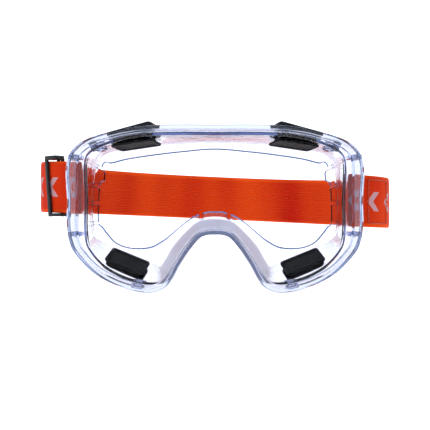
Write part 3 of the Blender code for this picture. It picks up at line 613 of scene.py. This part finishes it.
# %% Black mouldings
def moulded_black(name, colour, roughness, grain):
    """Matt black plastic from a spark-roughened mould: fine grain, and broad cloudy patches a little lighter and
    rougher.
    """
    material, nodes, links, skin = new_material(name)
    where = nodes.new("ShaderNodeTexCoord")
    fine = nodes.new("ShaderNodeTexNoise")
    fine.inputs["Scale"].default_value = 2600.0
    fine.inputs["Detail"].default_value = 3.0
    cloud = nodes.new("ShaderNodeTexNoise")
    cloud.inputs["Scale"].default_value = 130.0
    cloud.inputs["Detail"].default_value = 4.0
    shade = nodes.new("ShaderNodeValToRGB")
    shade.color_ramp.elements[0].position, shade.color_ramp.elements[1].position = 0.32, 0.75
    shade.color_ramp.elements[0].color = (*colour, 1.0)
    shade.color_ramp.elements[1].color = (*(c * 1.7 + 0.004 for c in colour), 1.0)
    gloss = nodes.new("ShaderNodeMapRange")
    gloss.inputs["To Min"].default_value = roughness - 0.08
    gloss.inputs["To Max"].default_value = roughness + 0.1
    skin.inputs["Specular IOR Level"].default_value = 0.16
    bump = nodes.new("ShaderNodeBump")
    bump.inputs["Strength"].default_value = grain
    bump.inputs["Distance"].default_value = 0.0001
    for texture in (fine, cloud):
        links.new(where.outputs["Object"], texture.inputs["Vector"])
    links.new(cloud.outputs["Fac"], shade.inputs["Fac"])
    links.new(shade.outputs["Color"], skin.inputs["Base Color"])
    links.new(cloud.outputs["Fac"], gloss.inputs["Value"])
    links.new(gloss.outputs["Result"], skin.inputs["Roughness"])
    links.new(fine.outputs["Fac"], bump.inputs["Height"])
    links.new(bump.outputs["Normal"], skin.inputs["Normal"])
    return material


vent_black = moulded_black("vent_black", (0.0035, 0.0035, 0.004), 0.62, 0.3)
slider_black = moulded_black("slider_black", (0.008, 0.008, 0.009), 0.32, 0.2)

# %% The four vents
VENT_LENGTH, VENT_DEPTH, COVER_GAP, COVER_WALL = 29.0, 18.0, 1.1, 1.2
PLATE_HALF = (12.5, 7.6)
PLATE_TOP = -SHELL_WALL - 1.0
VENTS = {"top": (2.68, 0.47, 6.8), "cheek": (12.9, 0.50, 2.9)}
SKEW = {"top": 0.0, "cheek": -0.25}
TIP = {"top": math.radians(6.0), "cheek": 0.0}
HOOD_HALF = {"top": (13.0, 8.2), "cheek": (12.6, 5.8)}


def on_wall(t, share):
    """The wall's outer face between the back of the rim (share 0) and the fold (share 1)."""
    front = on_rim(t, outline(t)[:, 3], RIM_DEPTH)
    return mix(front, on_fold(t, 0.0, 0.0), share)


def lay(rings, t_middle, share_middle, skew, tip=0.0):
    """Lay slab points (along, deep, up) on the plane that touches the wall at one spot. The slab leans
    over along the wall by skew times its depth, and tips up at its inner end by the angle tip."""
    t, share = np.array([t_middle]), share_middle
    along = (on_wall(t + 0.4, share) - on_wall(t - 0.4, share))[0]
    along /= np.linalg.norm(along)
    deep = (on_wall(t, share + 0.2) - on_wall(t, share - 0.2))[0]
    up = np.cross(deep, along)
    up /= np.linalg.norm(up)
    inner = inward(t, 0)[0]
    up = -up if up[0] * inner[0] + up[2] * inner[1] > 0 else up
    deep = np.cross(up, along)
    along, up = along * math.cos(tip) - up * math.sin(tip), up * math.cos(tip) + along * math.sin(tip)
    shift = (rings[..., 0] + skew * rings[..., 1])[..., None]
    return on_wall(t, share)[0] + along * shift + deep * rings[..., 1:2] + up * rings[..., 2:3]


def hood_profile(top):
    """Over the crowned top, down the side, under the edge and up into the hollow."""
    wall, soft = COVER_WALL, 0.34 * (top - COVER_GAP)
    return [(0, top, 0.0), (1.3 * soft, top, 0.5), (1.3 * soft, top - 0.02, 1.0),
            (0.75 * soft, top - 0.06 * soft, 1.0), (0.3 * soft, top - 0.25 * soft, 1.0),
            (0.08 * soft, top - 0.55 * soft, 1.0), (0, top - 0.95 * soft, 1.0), (0, COVER_GAP + 0.3, 1.0),
            (0.2, COVER_GAP, 1.0), (wall, COVER_GAP, 1.0), (wall, top - wall - 0.7 * soft, 1.0),
            (wall + 0.3 * soft, top - wall - 0.15 * soft, 1.0), (wall + 0.8 * soft, top - wall, 1.0),
            (wall + 0.8 * soft, top - wall, 0.5), (0, top - wall, 0.0)]


def plate_profile():
    """The inner plate: its back, round the edge, a raised border, then a sunk face."""
    back, face = PLATE_TOP, PLATE_TOP - 1.4
    return [(0, back, 0.0), (0.4, back, 0.5), (0.4, back, 1.0), (0, back - 0.4, 1.0), (0, face + 0.45, 1.0),
            (0.15, face + 0.12, 1.0), (0.5, face, 1.0), (1.7, face, 1.0), (1.95, face + 0.1, 1.0),
            (2.1, face + 0.5, 1.0), (2.3, face + 0.55, 1.0), (2.3, face + 0.5, 0.5), (0, face + 0.5, 0.0)]


for level, (row, share, rise) in VENTS.items():
    for side, label in ((1, "right"), (-1, "left")):
        hood = lay(slab_rings(*HOOD_HALF[level], 2.4, hood_profile(rise)), row, share + 0.03, SKEW[level], TIP[level])
        plate = lay(slab_rings(*PLATE_HALF, 2.0, plate_profile()), row, share, SKEW[level])
        neck = lay(slab_rings(10.3, 4.8, 1.0, block_profile(PLATE_TOP - 0.2, 0.9, 0.3)), row, share,
                   SKEW[level])
        for grid, kind, nodes in ((hood, "hood", [f"vent_cover_{level}_{label}"]),
                                  (plate, "plate", [f"vent_grille_{level}_{label}"]), (neck, "neck", [])):
            grid = grid * np.array((side, 1, 1))
            piece = surface(f"vent_{kind}_{level}_{label}", grid, vent_black, crease=32)
            fit(piece, "frame", "black_plastic", *nodes)

# %% [markdown]
# ## The strap
#
# The strap is one length of orange elastic webbing. It loops round a pin on each side, folds back on itself, and goes
# round the head. On the slider's side the tail lies inside the band. On the other side the end is sewn down. The part
# at the pins stays with the frame and the rest swings. A short wrap round each pin joins them; here it is built where
# it rests.

# %% The strap's line in plan
STRAP_WIDTH, STRAP_THICK, LAYER_GAP = 30.0, 1.4, 0.4
STRAP_MID, STRAP_TILT = 12.0, -0.046
LEAVE, STRAP_RUN, STRAP_BEND = math.radians(24.0), 8.0, 32.0
BEND_END, BACK_FLAT = math.radians(110.0), 8.5
TAIL_END, SEWN_END = math.radians(106.0), math.radians(62.0)
LAYER_STEP = STRAP_THICK + LAYER_GAP
LOOP_RADIUS = PIN_RADIUS + GAP + 0.2 + STRAP_THICK / 2
FLAT_START = np.array((PIN_X + STRAP_RUN * math.cos(LEAVE), PIN_Y + STRAP_RUN * math.sin(LEAVE)))
CENTRE = FLAT_START + STRAP_BEND * np.array((-math.sin(LEAVE), math.cos(LEAVE)))


def near_pin(along, across):
    """From the pin: along the way the strap leaves it, across towards the front."""
    return np.stack([PIN_X + along * math.cos(LEAVE) + across * math.sin(LEAVE),
                     PIN_Y + along * math.sin(LEAVE) - across * math.cos(LEAVE)], -1)


def layer_line(along, outer):
    """A layer between the pin and the bend: its distance from the strap's line eases from the loop's
    radius to the layer's place as 3f^2 - 2f^3."""
    rest, wide = (0.0, LOOP_RADIUS) if outer else (-LAYER_STEP, -LOOP_RADIUS)
    ease = smooth(0.0, STRAP_RUN, along)
    return near_pin(along, wide + (rest - wide) * ease)


def on_bend(radius, angle):
    """On the temple bend: at angle 0 the strap runs outwards, at 90 degrees straight back."""
    return np.stack([CENTRE[0] + radius * np.sin(angle), CENTRE[1] - radius * np.cos(angle)], -1)


def even_line(points, step):
    """Points evenly spaced along a line, close to this step."""
    run = np.concatenate([[0.0], np.cumsum(np.linalg.norm(np.diff(points, axis=0), axis=1))])
    where = np.linspace(0, run[-1], max(3, int(round(run[-1] / step)) + 1))
    return np.stack([np.interp(where, run, points[:, k]) for k in range(2)], 1)


WRAP_END = 10.6
wrap_angle = LEAVE + (WRAP_END - STRAP_RUN) / STRAP_BEND


def wrap_line():
    """The whole wrap: in along the outer layer, round the pin, and out along the inner layer."""
    run = np.linspace(0, STRAP_RUN, 33)
    turn = np.linspace(LEAVE, wrap_angle, 7)[1:]
    outer = np.concatenate([layer_line(run, True), on_bend(STRAP_BEND, turn)])[::-1]
    round_pin = np.linspace(0, math.pi, 31)[1:-1]
    loop = near_pin(-LOOP_RADIUS * np.sin(round_pin), LOOP_RADIUS * np.cos(round_pin))
    inner = np.concatenate([layer_line(run, False), on_bend(STRAP_BEND - LAYER_STEP, turn)])
    return np.concatenate([outer, loop, inner])


def half_band():
    """From the wrap's end round the temple and to the middle of the back of the head."""
    turn = np.linspace(wrap_angle, BEND_END, 90)
    temple = on_bend(STRAP_BEND, turn)
    corner = temple[-1]
    wide = (corner[0] - BACK_FLAT) / math.sin(BEND_END)
    middle = (corner[0] - wide * math.sin(BEND_END), corner[1] + wide * math.cos(BEND_END))
    turn = np.linspace(BEND_END, math.pi, 120)[1:]
    back = np.stack([middle[0] + wide * np.sin(turn), middle[1] - wide * np.cos(turn)], 1)
    return np.concatenate([temple, back])


# %% Webbing along a line
def webbing_section(half_wide, half_thick):
    """Round the webbing's edge: (across, out) with a rolled selvedge at top and bottom."""
    soft = 0.62
    flat = np.linspace(1, -1, 25) * (half_wide - soft)
    bow = np.sqrt(np.clip(1 - (np.abs(flat) / half_wide) ** 14, 0, 1))
    turn = np.linspace(math.pi / 2, -math.pi / 2, 7)[1:-1]
    out = half_thick * bow
    face = np.column_stack([flat, out])
    low = np.column_stack([-(half_wide - soft) - soft * np.cos(turn), out[-1] * np.sin(turn)])
    back = np.column_stack([flat[::-1], -out[::-1]])
    high = np.column_stack([(half_wide - soft) + soft * np.cos(turn), -out[-1] * np.sin(turn)])
    return np.concatenate([face, low, back, high])


def ribbon_grid(line, wave=0.0, start_at=0.0, round_ends=(False, False)):
    """Carry the section along a line in plan. Height follows the strap's tilt. The uv map is real
    millimetres: along the strap, and round the section from its top edge."""
    step = np.gradient(line, axis=0)
    step /= np.linalg.norm(step, axis=1, keepdims=True)
    out = np.stack([step[:, 1], -step[:, 0]], 1)
    run = np.concatenate([[0.0], np.cumsum(np.linalg.norm(np.diff(line, axis=0), axis=1))])
    section = webbing_section(STRAP_WIDTH / 2, STRAP_THICK / 2)
    thin = np.ones(len(line))
    for end, wanted in enumerate(round_ends):
        if wanted:
            away = run if end == 0 else run[-1] - run
            thin *= np.sqrt(np.clip(1 - (1 - np.clip(away / 0.7, 0, 1)) ** 2, 0.0, 1))
    ripple = wave * (np.sin(run * 0.21) + 0.6 * np.sin(run * 0.083 + 1.3))
    across = section[None, :, 0]
    lift = section[None, :, 1] * thin[:, None]
    x = line[:, :1] + out[:, :1] * lift
    y = line[:, 1:] + out[:, 1:] * lift
    z = STRAP_MID + STRAP_TILT * line[:, :1] + across + ripple[:, None] * (0.4 + 0.6 * (across / 15.0))
    grid = np.stack([x, y, z + np.zeros_like(x)], 2)
    first, last = grid[:1].copy(), grid[-1:].copy()
    flat = section[:, 0]
    for cap, spot in ((first, 0), (last, -1)):
        cap[0, :, 0], cap[0, :, 1] = line[spot, 0], line[spot, 1]
    grid = np.concatenate([first, grid, last])
    ring = np.vstack((section, section[:1]))
    girth = np.concatenate([[0.0], np.cumsum(np.linalg.norm(np.diff(ring, axis=0), axis=1))])
    along = np.concatenate([[run[0]], run, [run[-1]]]) + start_at
    uv = np.stack(np.broadcast_arrays(along[:, None], girth[None, :]), 2)
    return grid, uv


def ribbon(name, line, side, material, **options):
    grid, uv = ribbon_grid(line * np.array((side, 1)), **options)
    return surface(name, grid, material, uv=uv, crease=60)


# %% [markdown]
# ### Webbing finish
#
# Elastic webbing is knitted over rubber cords that run its length. They show as fine ribs, crossed by
# tiny stitches, with a smooth paler selvedge along both edges. The uv map is in real millimetres, so the
# ribs keep their size on every piece of strap.

# %% Orange webbing
def webbing_finish(name, deep, bright, print_colour=None):
    """Ribs across, stitches along, broad soft changes of colour, and an optional printed band."""
    material, nodes, links, skin = new_material(name)
    skin.inputs["Roughness"].default_value = 0.8
    skin.inputs["Specular IOR Level"].default_value = 0.08
    skin.inputs["Sheen Weight"].default_value = 0.02
    skin.inputs["Sheen Roughness"].default_value = 0.4
    skin.inputs["Sheen Tint"].default_value = (1.0, 0.5, 0.25, 1.0)
    uv = nodes.new("ShaderNodeUVMap")
    uv.uv_map = "along_across"
    parts = nodes.new("ShaderNodeSeparateXYZ")
    links.new(uv.outputs["UV"], parts.inputs["Vector"])

    def maths(kind, a, b=None, c=None):
        node = nodes.new("ShaderNodeMath")
        node.operation = kind
        for socket, value in zip(node.inputs, (a, b, c)):
            if value is None:
                continue
            if isinstance(value, (int, float)):
                socket.default_value = value
            else:
                links.new(value, socket)
        return node.outputs[0]

    along, round_it = parts.outputs["X"], parts.outputs["Y"]
    rib = maths("SINE", maths("MULTIPLY", round_it, 2 * math.pi / 1.15))
    weft = maths("SINE", maths("ADD", maths("MULTIPLY", along, 2 * math.pi / 0.7),
                               maths("MULTIPLY", round_it, math.pi / 0.575)))
    fuzz = nodes.new("ShaderNodeTexNoise")
    fuzz.inputs["Scale"].default_value = 3.0
    fuzz.inputs["Detail"].default_value = 3.0
    links.new(uv.outputs["UV"], fuzz.inputs["Vector"])
    height = maths("ADD", maths("MULTIPLY", rib, 0.5), maths("ADD", maths("MULTIPLY", weft, 0.08), fuzz.outputs["Fac"]))
    stretch = nodes.new("ShaderNodeMapping")
    stretch.inputs["Scale"].default_value = (0.028, 0.006, 1.0)
    links.new(uv.outputs["UV"], stretch.inputs["Vector"])
    broad = nodes.new("ShaderNodeTexNoise")
    broad.inputs["Scale"].default_value = 1.0
    broad.inputs["Detail"].default_value = 1.0
    links.new(stretch.outputs["Vector"], broad.inputs["Vector"])
    edge = maths("ABSOLUTE", maths("SUBTRACT", maths("MODULO", round_it, 30.4), 14.9))
    selvedge = nodes.new("ShaderNodeMapRange")
    selvedge.inputs["From Min"].default_value, selvedge.inputs["From Max"].default_value = 12.9, 13.9
    links.new(edge, selvedge.inputs["Value"])
    tone = maths("ADD", maths("MULTIPLY", broad.outputs["Fac"], 1.0),
                 maths("ADD", maths("MULTIPLY", rib, 0.025),
                       maths("ADD", maths("MULTIPLY", weft, 0.05), maths("MULTIPLY", fuzz.outputs["Fac"], 0.12))))
    tone = maths("ADD", tone, maths("MULTIPLY", selvedge.outputs["Result"], 0.22))
    shade = nodes.new("ShaderNodeValToRGB")
    shade.color_ramp.elements[0].position, shade.color_ramp.elements[1].position = 0.30, 0.95
    shade.color_ramp.elements[0].color = (*deep, 1.0)
    shade.color_ramp.elements[1].color = (*bright, 1.0)
    links.new(tone, shade.inputs["Fac"])
    colour = shade.outputs["Color"]
    if print_colour:
        colour = printed(nodes, links, maths, colour, along, round_it, fuzz.outputs["Fac"], print_colour)
    links.new(colour, skin.inputs["Base Color"])
    bump = nodes.new("ShaderNodeBump")
    bump.inputs["Strength"].default_value = 0.3
    bump.inputs["Distance"].default_value = 0.00035
    links.new(height, bump.inputs["Height"])
    links.new(bump.outputs["Normal"], skin.inputs["Normal"])
    return material


def printed(nodes, links, maths, ground, along, round_it, fuzz, ink):
    """A plain repeated motif in pale ink on the outer face: slanted bars in pairs."""
    across = maths("SUBTRACT", round_it, 44.9)
    lean = maths("ADD", along, maths("MULTIPLY", maths("ABSOLUTE", across), 0.9))
    beat = maths("MODULO", maths("ADD", lean, 1000.0), 15.0)
    bar = maths("MULTIPLY", maths("GREATER_THAN", beat, 2.0), maths("LESS_THAN", beat, 6.4))
    row = maths("LESS_THAN", maths("ABSOLUTE", across), 5.6)
    worn = maths("GREATER_THAN", fuzz, 0.36)
    share = maths("MULTIPLY", maths("MULTIPLY", maths("MULTIPLY", bar, row), worn), 0.72)
    blend = nodes.new("ShaderNodeMix")
    blend.data_type = "RGBA"
    links.new(share, blend.inputs["Factor"])
    links.new(ground, blend.inputs["A"])
    blend.inputs["B"].default_value = (*ink, 1.0)
    return blend.outputs["Result"]


DEEP_ORANGE, BRIGHT_ORANGE = (0.42, 0.004, 0.0002), (0.80, 0.080, 0.004)
webbing = webbing_finish("orange_webbing", DEEP_ORANGE, BRIGHT_ORANGE, (0.42, 0.33, 0.36))
plain_webbing = webbing_finish("orange_webbing_plain", DEEP_ORANGE, BRIGHT_ORANGE)

# %% Fit the strap
wrap_run = even_line(wrap_line(), 0.45)
half = half_band()
band_run = even_line(np.concatenate([half * np.array((-1, 1)), half[::-1][1:]]), 1.4)


def run_length(line):
    """Length along a line of points."""
    return float(np.linalg.norm(np.diff(line, axis=0), axis=1).sum())


starts = {"left": -run_length(wrap_run), "right": run_length(band_run)}
for side, label in ((-1, "left"), (1, "right")):
    line = wrap_run[::-1] if side < 0 else wrap_run
    piece = ribbon(f"strap_wrap_{label}", line, side, webbing, start_at=starts[label])
    along = np.array((side * math.cos(LEAVE), math.sin(LEAVE), 0.0))
    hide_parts(f"strap_loop_{label}")
    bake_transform(piece)

band = ribbon("strap_band_webbing", band_run, 1, webbing)
fit(band, "strap", "orange_webbing", "strap_band")
print(f"webbing: band {run_length(band_run):.1f} mm, each loop {run_length(wrap_run):.1f} mm")


def inner_line(end):
    """The layer inside the band, from the wrap to this angle of the bend."""
    return on_bend(STRAP_BEND - LAYER_STEP, np.linspace(wrap_angle, end, 80))


tail = ribbon("strap_tail_webbing", even_line(inner_line(TAIL_END), 0.7), -1, plain_webbing,
              round_ends=(False, True))
fit(tail, "strap", "orange_webbing", "strap_tail")
sewn = ribbon("strap_sewn_webbing", even_line(inner_line(SEWN_END), 0.7), 1, plain_webbing,
              round_ends=(False, True))
fit(sewn, "strap", "orange_webbing", "strap_sewn_end")

# %% [markdown]
# ## Stitching and slider
#
# Four rows of thread make a box on the sewn side. Each row is a string of short stitches that dive in and
# out of the webbing. The slider is a black ladder of two rails and three bars, bent to the strap.

# %% Thread
def thread_finish():
    """Twisted thread: diagonal strands from the piece's own uv map."""
    material, nodes, links, skin = new_material("orange_thread")
    skin.inputs["Roughness"].default_value = 0.6
    uv = nodes.new("ShaderNodeUVMap")
    uv.uv_map = "along_across"
    twist = nodes.new("ShaderNodeTexWave")
    twist.bands_direction = "DIAGONAL"
    twist.inputs["Scale"].default_value = 1.2
    links.new(uv.outputs["UV"], twist.inputs["Vector"])
    shade = nodes.new("ShaderNodeValToRGB")
    shade.color_ramp.elements[0].color = (0.30, 0.012, 0.002, 1.0)
    shade.color_ramp.elements[1].color = (0.62, 0.06, 0.006, 1.0)
    links.new(twist.outputs["Fac"], shade.inputs["Fac"])
    links.new(shade.outputs["Color"], skin.inputs["Base Color"])
    bump = nodes.new("ShaderNodeBump")
    bump.inputs["Strength"].default_value = 0.3
    bump.inputs["Distance"].default_value = 0.0001
    links.new(twist.outputs["Fac"], bump.inputs["Height"])
    links.new(bump.outputs["Normal"], skin.inputs["Normal"])
    return material


def stitch_row(angle, height, lead):
    """A thread along a row: its radius from the bend and its thickness swell at each stitch."""
    count = len(angle)
    pitch = 2 * math.pi / 2.6
    swell = 0.5 + 0.5 * np.cos(lead * pitch)
    out = STRAP_BEND + STRAP_THICK / 2 + 0.10 + 0.28 * swell
    plan = on_bend(1.0, angle) - CENTRE
    middle = np.column_stack([CENTRE + plan * out[:, None], height])
    step = np.gradient(middle, axis=0)
    step /= np.linalg.norm(step, axis=1, keepdims=True)
    radial = np.column_stack([plan, np.zeros(count)])
    beside = np.cross(step, radial)
    turn = np.linspace(0, 2 * math.pi, 9)[:-1]
    thick = 0.18 + 0.17 * swell
    thick[[0, -1]] = 0.0
    grid = (middle[:, None] + thick[:, None, None] * (np.cos(turn)[None, :, None] * radial[:, None] * 0.8
                                                      + np.sin(turn)[None, :, None] * beside[:, None] * 1.25))
    uv = np.stack(np.broadcast_arrays(lead[:, None], np.linspace(0, 2.2, 9)[None, :]), 2)
    return grid, uv


thread = thread_finish()
STITCH_FROM, STITCH_TO, STITCH_EDGE = math.radians(27.6), math.radians(58.4), 2.4
stitch_reach = STRAP_WIDTH / 2 - STITCH_EDGE


def strap_level(angle):
    """Height of the strap's middle on the bend."""
    return STRAP_MID + STRAP_TILT * on_bend(STRAP_BEND, angle)[:, 0]


rows = []
turn = np.linspace(STITCH_FROM, STITCH_TO, 110)
for offset in (stitch_reach, -stitch_reach):
    rows.append((turn, strap_level(turn) + offset, (turn - STITCH_FROM) * STRAP_BEND))
lift = np.linspace(-stitch_reach, stitch_reach, 150)
for spot in (STITCH_FROM, STITCH_TO):
    flat_turn = np.full(len(lift), spot)
    rows.append((flat_turn, strap_level(flat_turn) + lift, lift + stitch_reach))
for number, row in enumerate(rows):
    grid, uv = stitch_row(*row)
    piece = surface(f"stitch_row_{number + 1}", grid, thread, uv=uv, crease=80)
    fit(piece, "strap", "orange_thread", *(["strap_stitching"] if number == 0 else []))


# %% Slider
SLIDER_MID, SLIDER_LENGTH = math.radians(37.5), 10.4
SLIDER_LEAN = 0.11
RAIL = STRAP_WIDTH / 2 + 1.1
SLIDER_HIGH = STRAP_BEND + STRAP_THICK / 2 + 0.5 + 1.6
SLIDER_LOW = STRAP_BEND - LAYER_STEP - STRAP_THICK / 2 - 0.5 - 1.6
slider_level = STRAP_MID - STRAP_TILT * float(on_bend(STRAP_BEND, np.array([SLIDER_MID]))[0, 0])


def bent(points):
    """Slider points (along the strap, out from it, up) laid on the bend and turned to the left side."""
    angle = SLIDER_MID + (points[..., 0] + SLIDER_LEAN * points[..., 2]) / STRAP_BEND
    plan = on_bend(1.0, angle) - CENTRE
    radius = points[..., 1]
    return np.stack([-(CENTRE[0] + plan[..., 0] * radius), CENTRE[1] + plan[..., 1] * radius,
                     points[..., 2] + slider_level], -1)


def slider_block(along, out, up, soft):
    """A softened block between two values each way, thinned to nothing at neither end."""
    half = [(b - a) / 2 for a, b in (along, out, up)]
    middle = np.array([(a + b) / 2 for a, b in (along, out, up)])
    rings = slab_rings(half[0], half[1], min(soft * 1.6, half[0] * 0.8, half[1] * 0.8),
                       block_profile(-half[2], half[2], soft))
    return bent(rings + middle)


bar_out, bar_in = STRAP_BEND + STRAP_THICK / 2 + 0.5, STRAP_BEND - LAYER_STEP - STRAP_THICK / 2 - 0.5
half_long = SLIDER_LENGTH / 2
SLIDER = {"rail_top": ((-half_long, half_long), (SLIDER_LOW, SLIDER_HIGH), (RAIL - 0.1, RAIL + 2.2), 0.45),
          "rail_bottom": ((-half_long, half_long), (SLIDER_LOW, SLIDER_HIGH), (-RAIL - 1.0, -RAIL + 0.9), 0.4),
          "bar_near": ((-half_long, -half_long + 2.6), (SLIDER_LOW, bar_in), (-RAIL - 1.1, RAIL + 1.1), 0.4),
          "bar_centre": ((-1.3, 1.3), (SLIDER_LOW, bar_in), (-RAIL - 1.1, RAIL + 1.1), 0.4),
          "bar_far": ((half_long - 2.6, half_long), (bar_out, SLIDER_HIGH), (-RAIL - 1.1, RAIL + 1.1), 0.4)}
for name, (along, out, up, soft) in SLIDER.items():
    piece = surface(f"slider_{name}", slider_block(along, out, up, soft), slider_black, crease=40)
    fit(piece, "slider", "black_plastic", *(["strap_slider"] if name == "rail_top" else []))

# %% [markdown]
# ## Studio
#
# A pale floor curves up into a pale wall all round, like the paper sweep in a small product studio. The
# sweep glows a little, as paper does under big soft lamps, so the clear plastic has something bright to
# show on every side.

# %% Floor and sweep
def sweep_grid():
    """A shallow bowl of rotation: flat floor, then a quarter circle up to an upright wall."""
    floor_z = -42.3
    flat, radius, top = 1400.0, 500.0, 900.0
    turn = np.linspace(0, math.pi / 2, 13)
    r = np.concatenate([[0.0, 300.0, 800.0], flat + radius * np.sin(turn), [flat + radius]])
    z = np.concatenate([[0.0, 0.0, 0.0], radius * (1 - np.cos(turn)), [top]]) + floor_z
    angle = np.linspace(0, 2 * math.pi, 73)[:-1]
    return np.stack([r[:, None] * np.cos(angle), r[:, None] * np.sin(angle) + 60.0,
                     np.broadcast_to(z[:, None], (len(r), len(angle)))], 2)


def sweep_paper():
    """White paper that glows: brightest behind the goggles, dimmer on the side they face."""
    material, nodes, links, skin = new_material("studio_paper")
    skin.inputs["Base Color"].default_value = (0.7, 0.7, 0.7, 1.0)
    skin.inputs["Roughness"].default_value = 0.9
    skin.inputs["Specular IOR Level"].default_value = 0.0
    skin.inputs["Emission Strength"].default_value = 0.9
    where = nodes.new("ShaderNodeTexCoord")
    parts = nodes.new("ShaderNodeSeparateXYZ")
    glow = nodes.new("ShaderNodeMapRange")
    glow.inputs["From Min"].default_value, glow.inputs["From Max"].default_value = -1.6, 0.5
    glow.inputs["To Min"].default_value, glow.inputs["To Max"].default_value = 0.55, 1.0
    links.new(where.outputs["Object"], parts.inputs["Vector"])
    links.new(parts.outputs["Y"], glow.inputs["Value"])
    links.new(glow.outputs["Result"], skin.inputs["Emission Color"])
    return material


def open_sheet(name, grid, material):
    """A one-sided sheet: the same grid, left open, that looks to the inside of the bowl."""
    rows, columns = grid.shape[:2]
    r, c = np.arange(rows - 1)[:, None], np.arange(columns)[None, :]
    beside = (c + 1) % columns
    faces = np.stack([r * columns + c, (r + 1) * columns + c, (r + 1) * columns + beside,
                      r * columns + beside], -1).reshape(-1, 4)
    mesh = bpy.data.meshes.new(name)
    mesh.from_pydata(place(grid).reshape(-1, 3).tolist(), [], faces.tolist())
    mesh.shade_smooth()
    mesh.materials.append(material)
    sheet = bpy.data.objects.new(name, mesh)
    bpy.context.scene.collection.objects.link(sheet)
    return sheet


sweep = open_sheet("studio_sweep", sweep_grid(), sweep_paper())


# %% Lamps, air and camera
def lamp(name, size, power, spot, aim):
    """A square soft lamp at a drawing point, turned to face another."""
    data = bpy.data.lights.new(name, "AREA")
    data.shape, data.size, data.energy = "SQUARE", size, power
    thing = bpy.data.objects.new(name, data)
    bpy.context.scene.collection.objects.link(thing)
    from mathutils import Vector
    a, b = Vector(place(spot)), Vector(place(aim))
    thing.location = a
    thing.rotation_euler = (b - a).to_track_quat("-Z", "Y").to_euler()
    return thing


lamp("soft_key", 0.6, 2.6, (-420, -500, 700), (0, 40, 0))
lamp("soft_top", 0.8, 2.6, (150, 120, 900), (0, 60, 0))
air = bpy.data.worlds.new("studio_air")
air.use_nodes = True
air.node_tree.nodes["Background"].inputs["Color"].default_value = (0.62, 0.74, 0.95, 1.0)
air.node_tree.nodes["Background"].inputs["Strength"].default_value = 0.7
bpy.context.scene.world = air
bpy.context.scene.view_settings.view_transform = "Standard"
bpy.context.scene.cycles.max_bounces = 24
bpy.context.scene.cycles.transmission_bounces = 24
bpy.context.scene.cycles.transparent_max_bounces = 24

eye = bpy.data.cameras.new("eye")
eye.sensor_width, eye.lens = 36.0, 68.4
eye.clip_start, eye.clip_end = 0.01, 20.0
camera = bpy.data.objects.new("eye", eye)
bpy.context.scene.collection.objects.link(camera)
camera.location = place((0.0, -430.0, 0.0))
camera.rotation_euler = (math.pi / 2, 0.0, 0.0)
bpy.context.scene.camera = camera
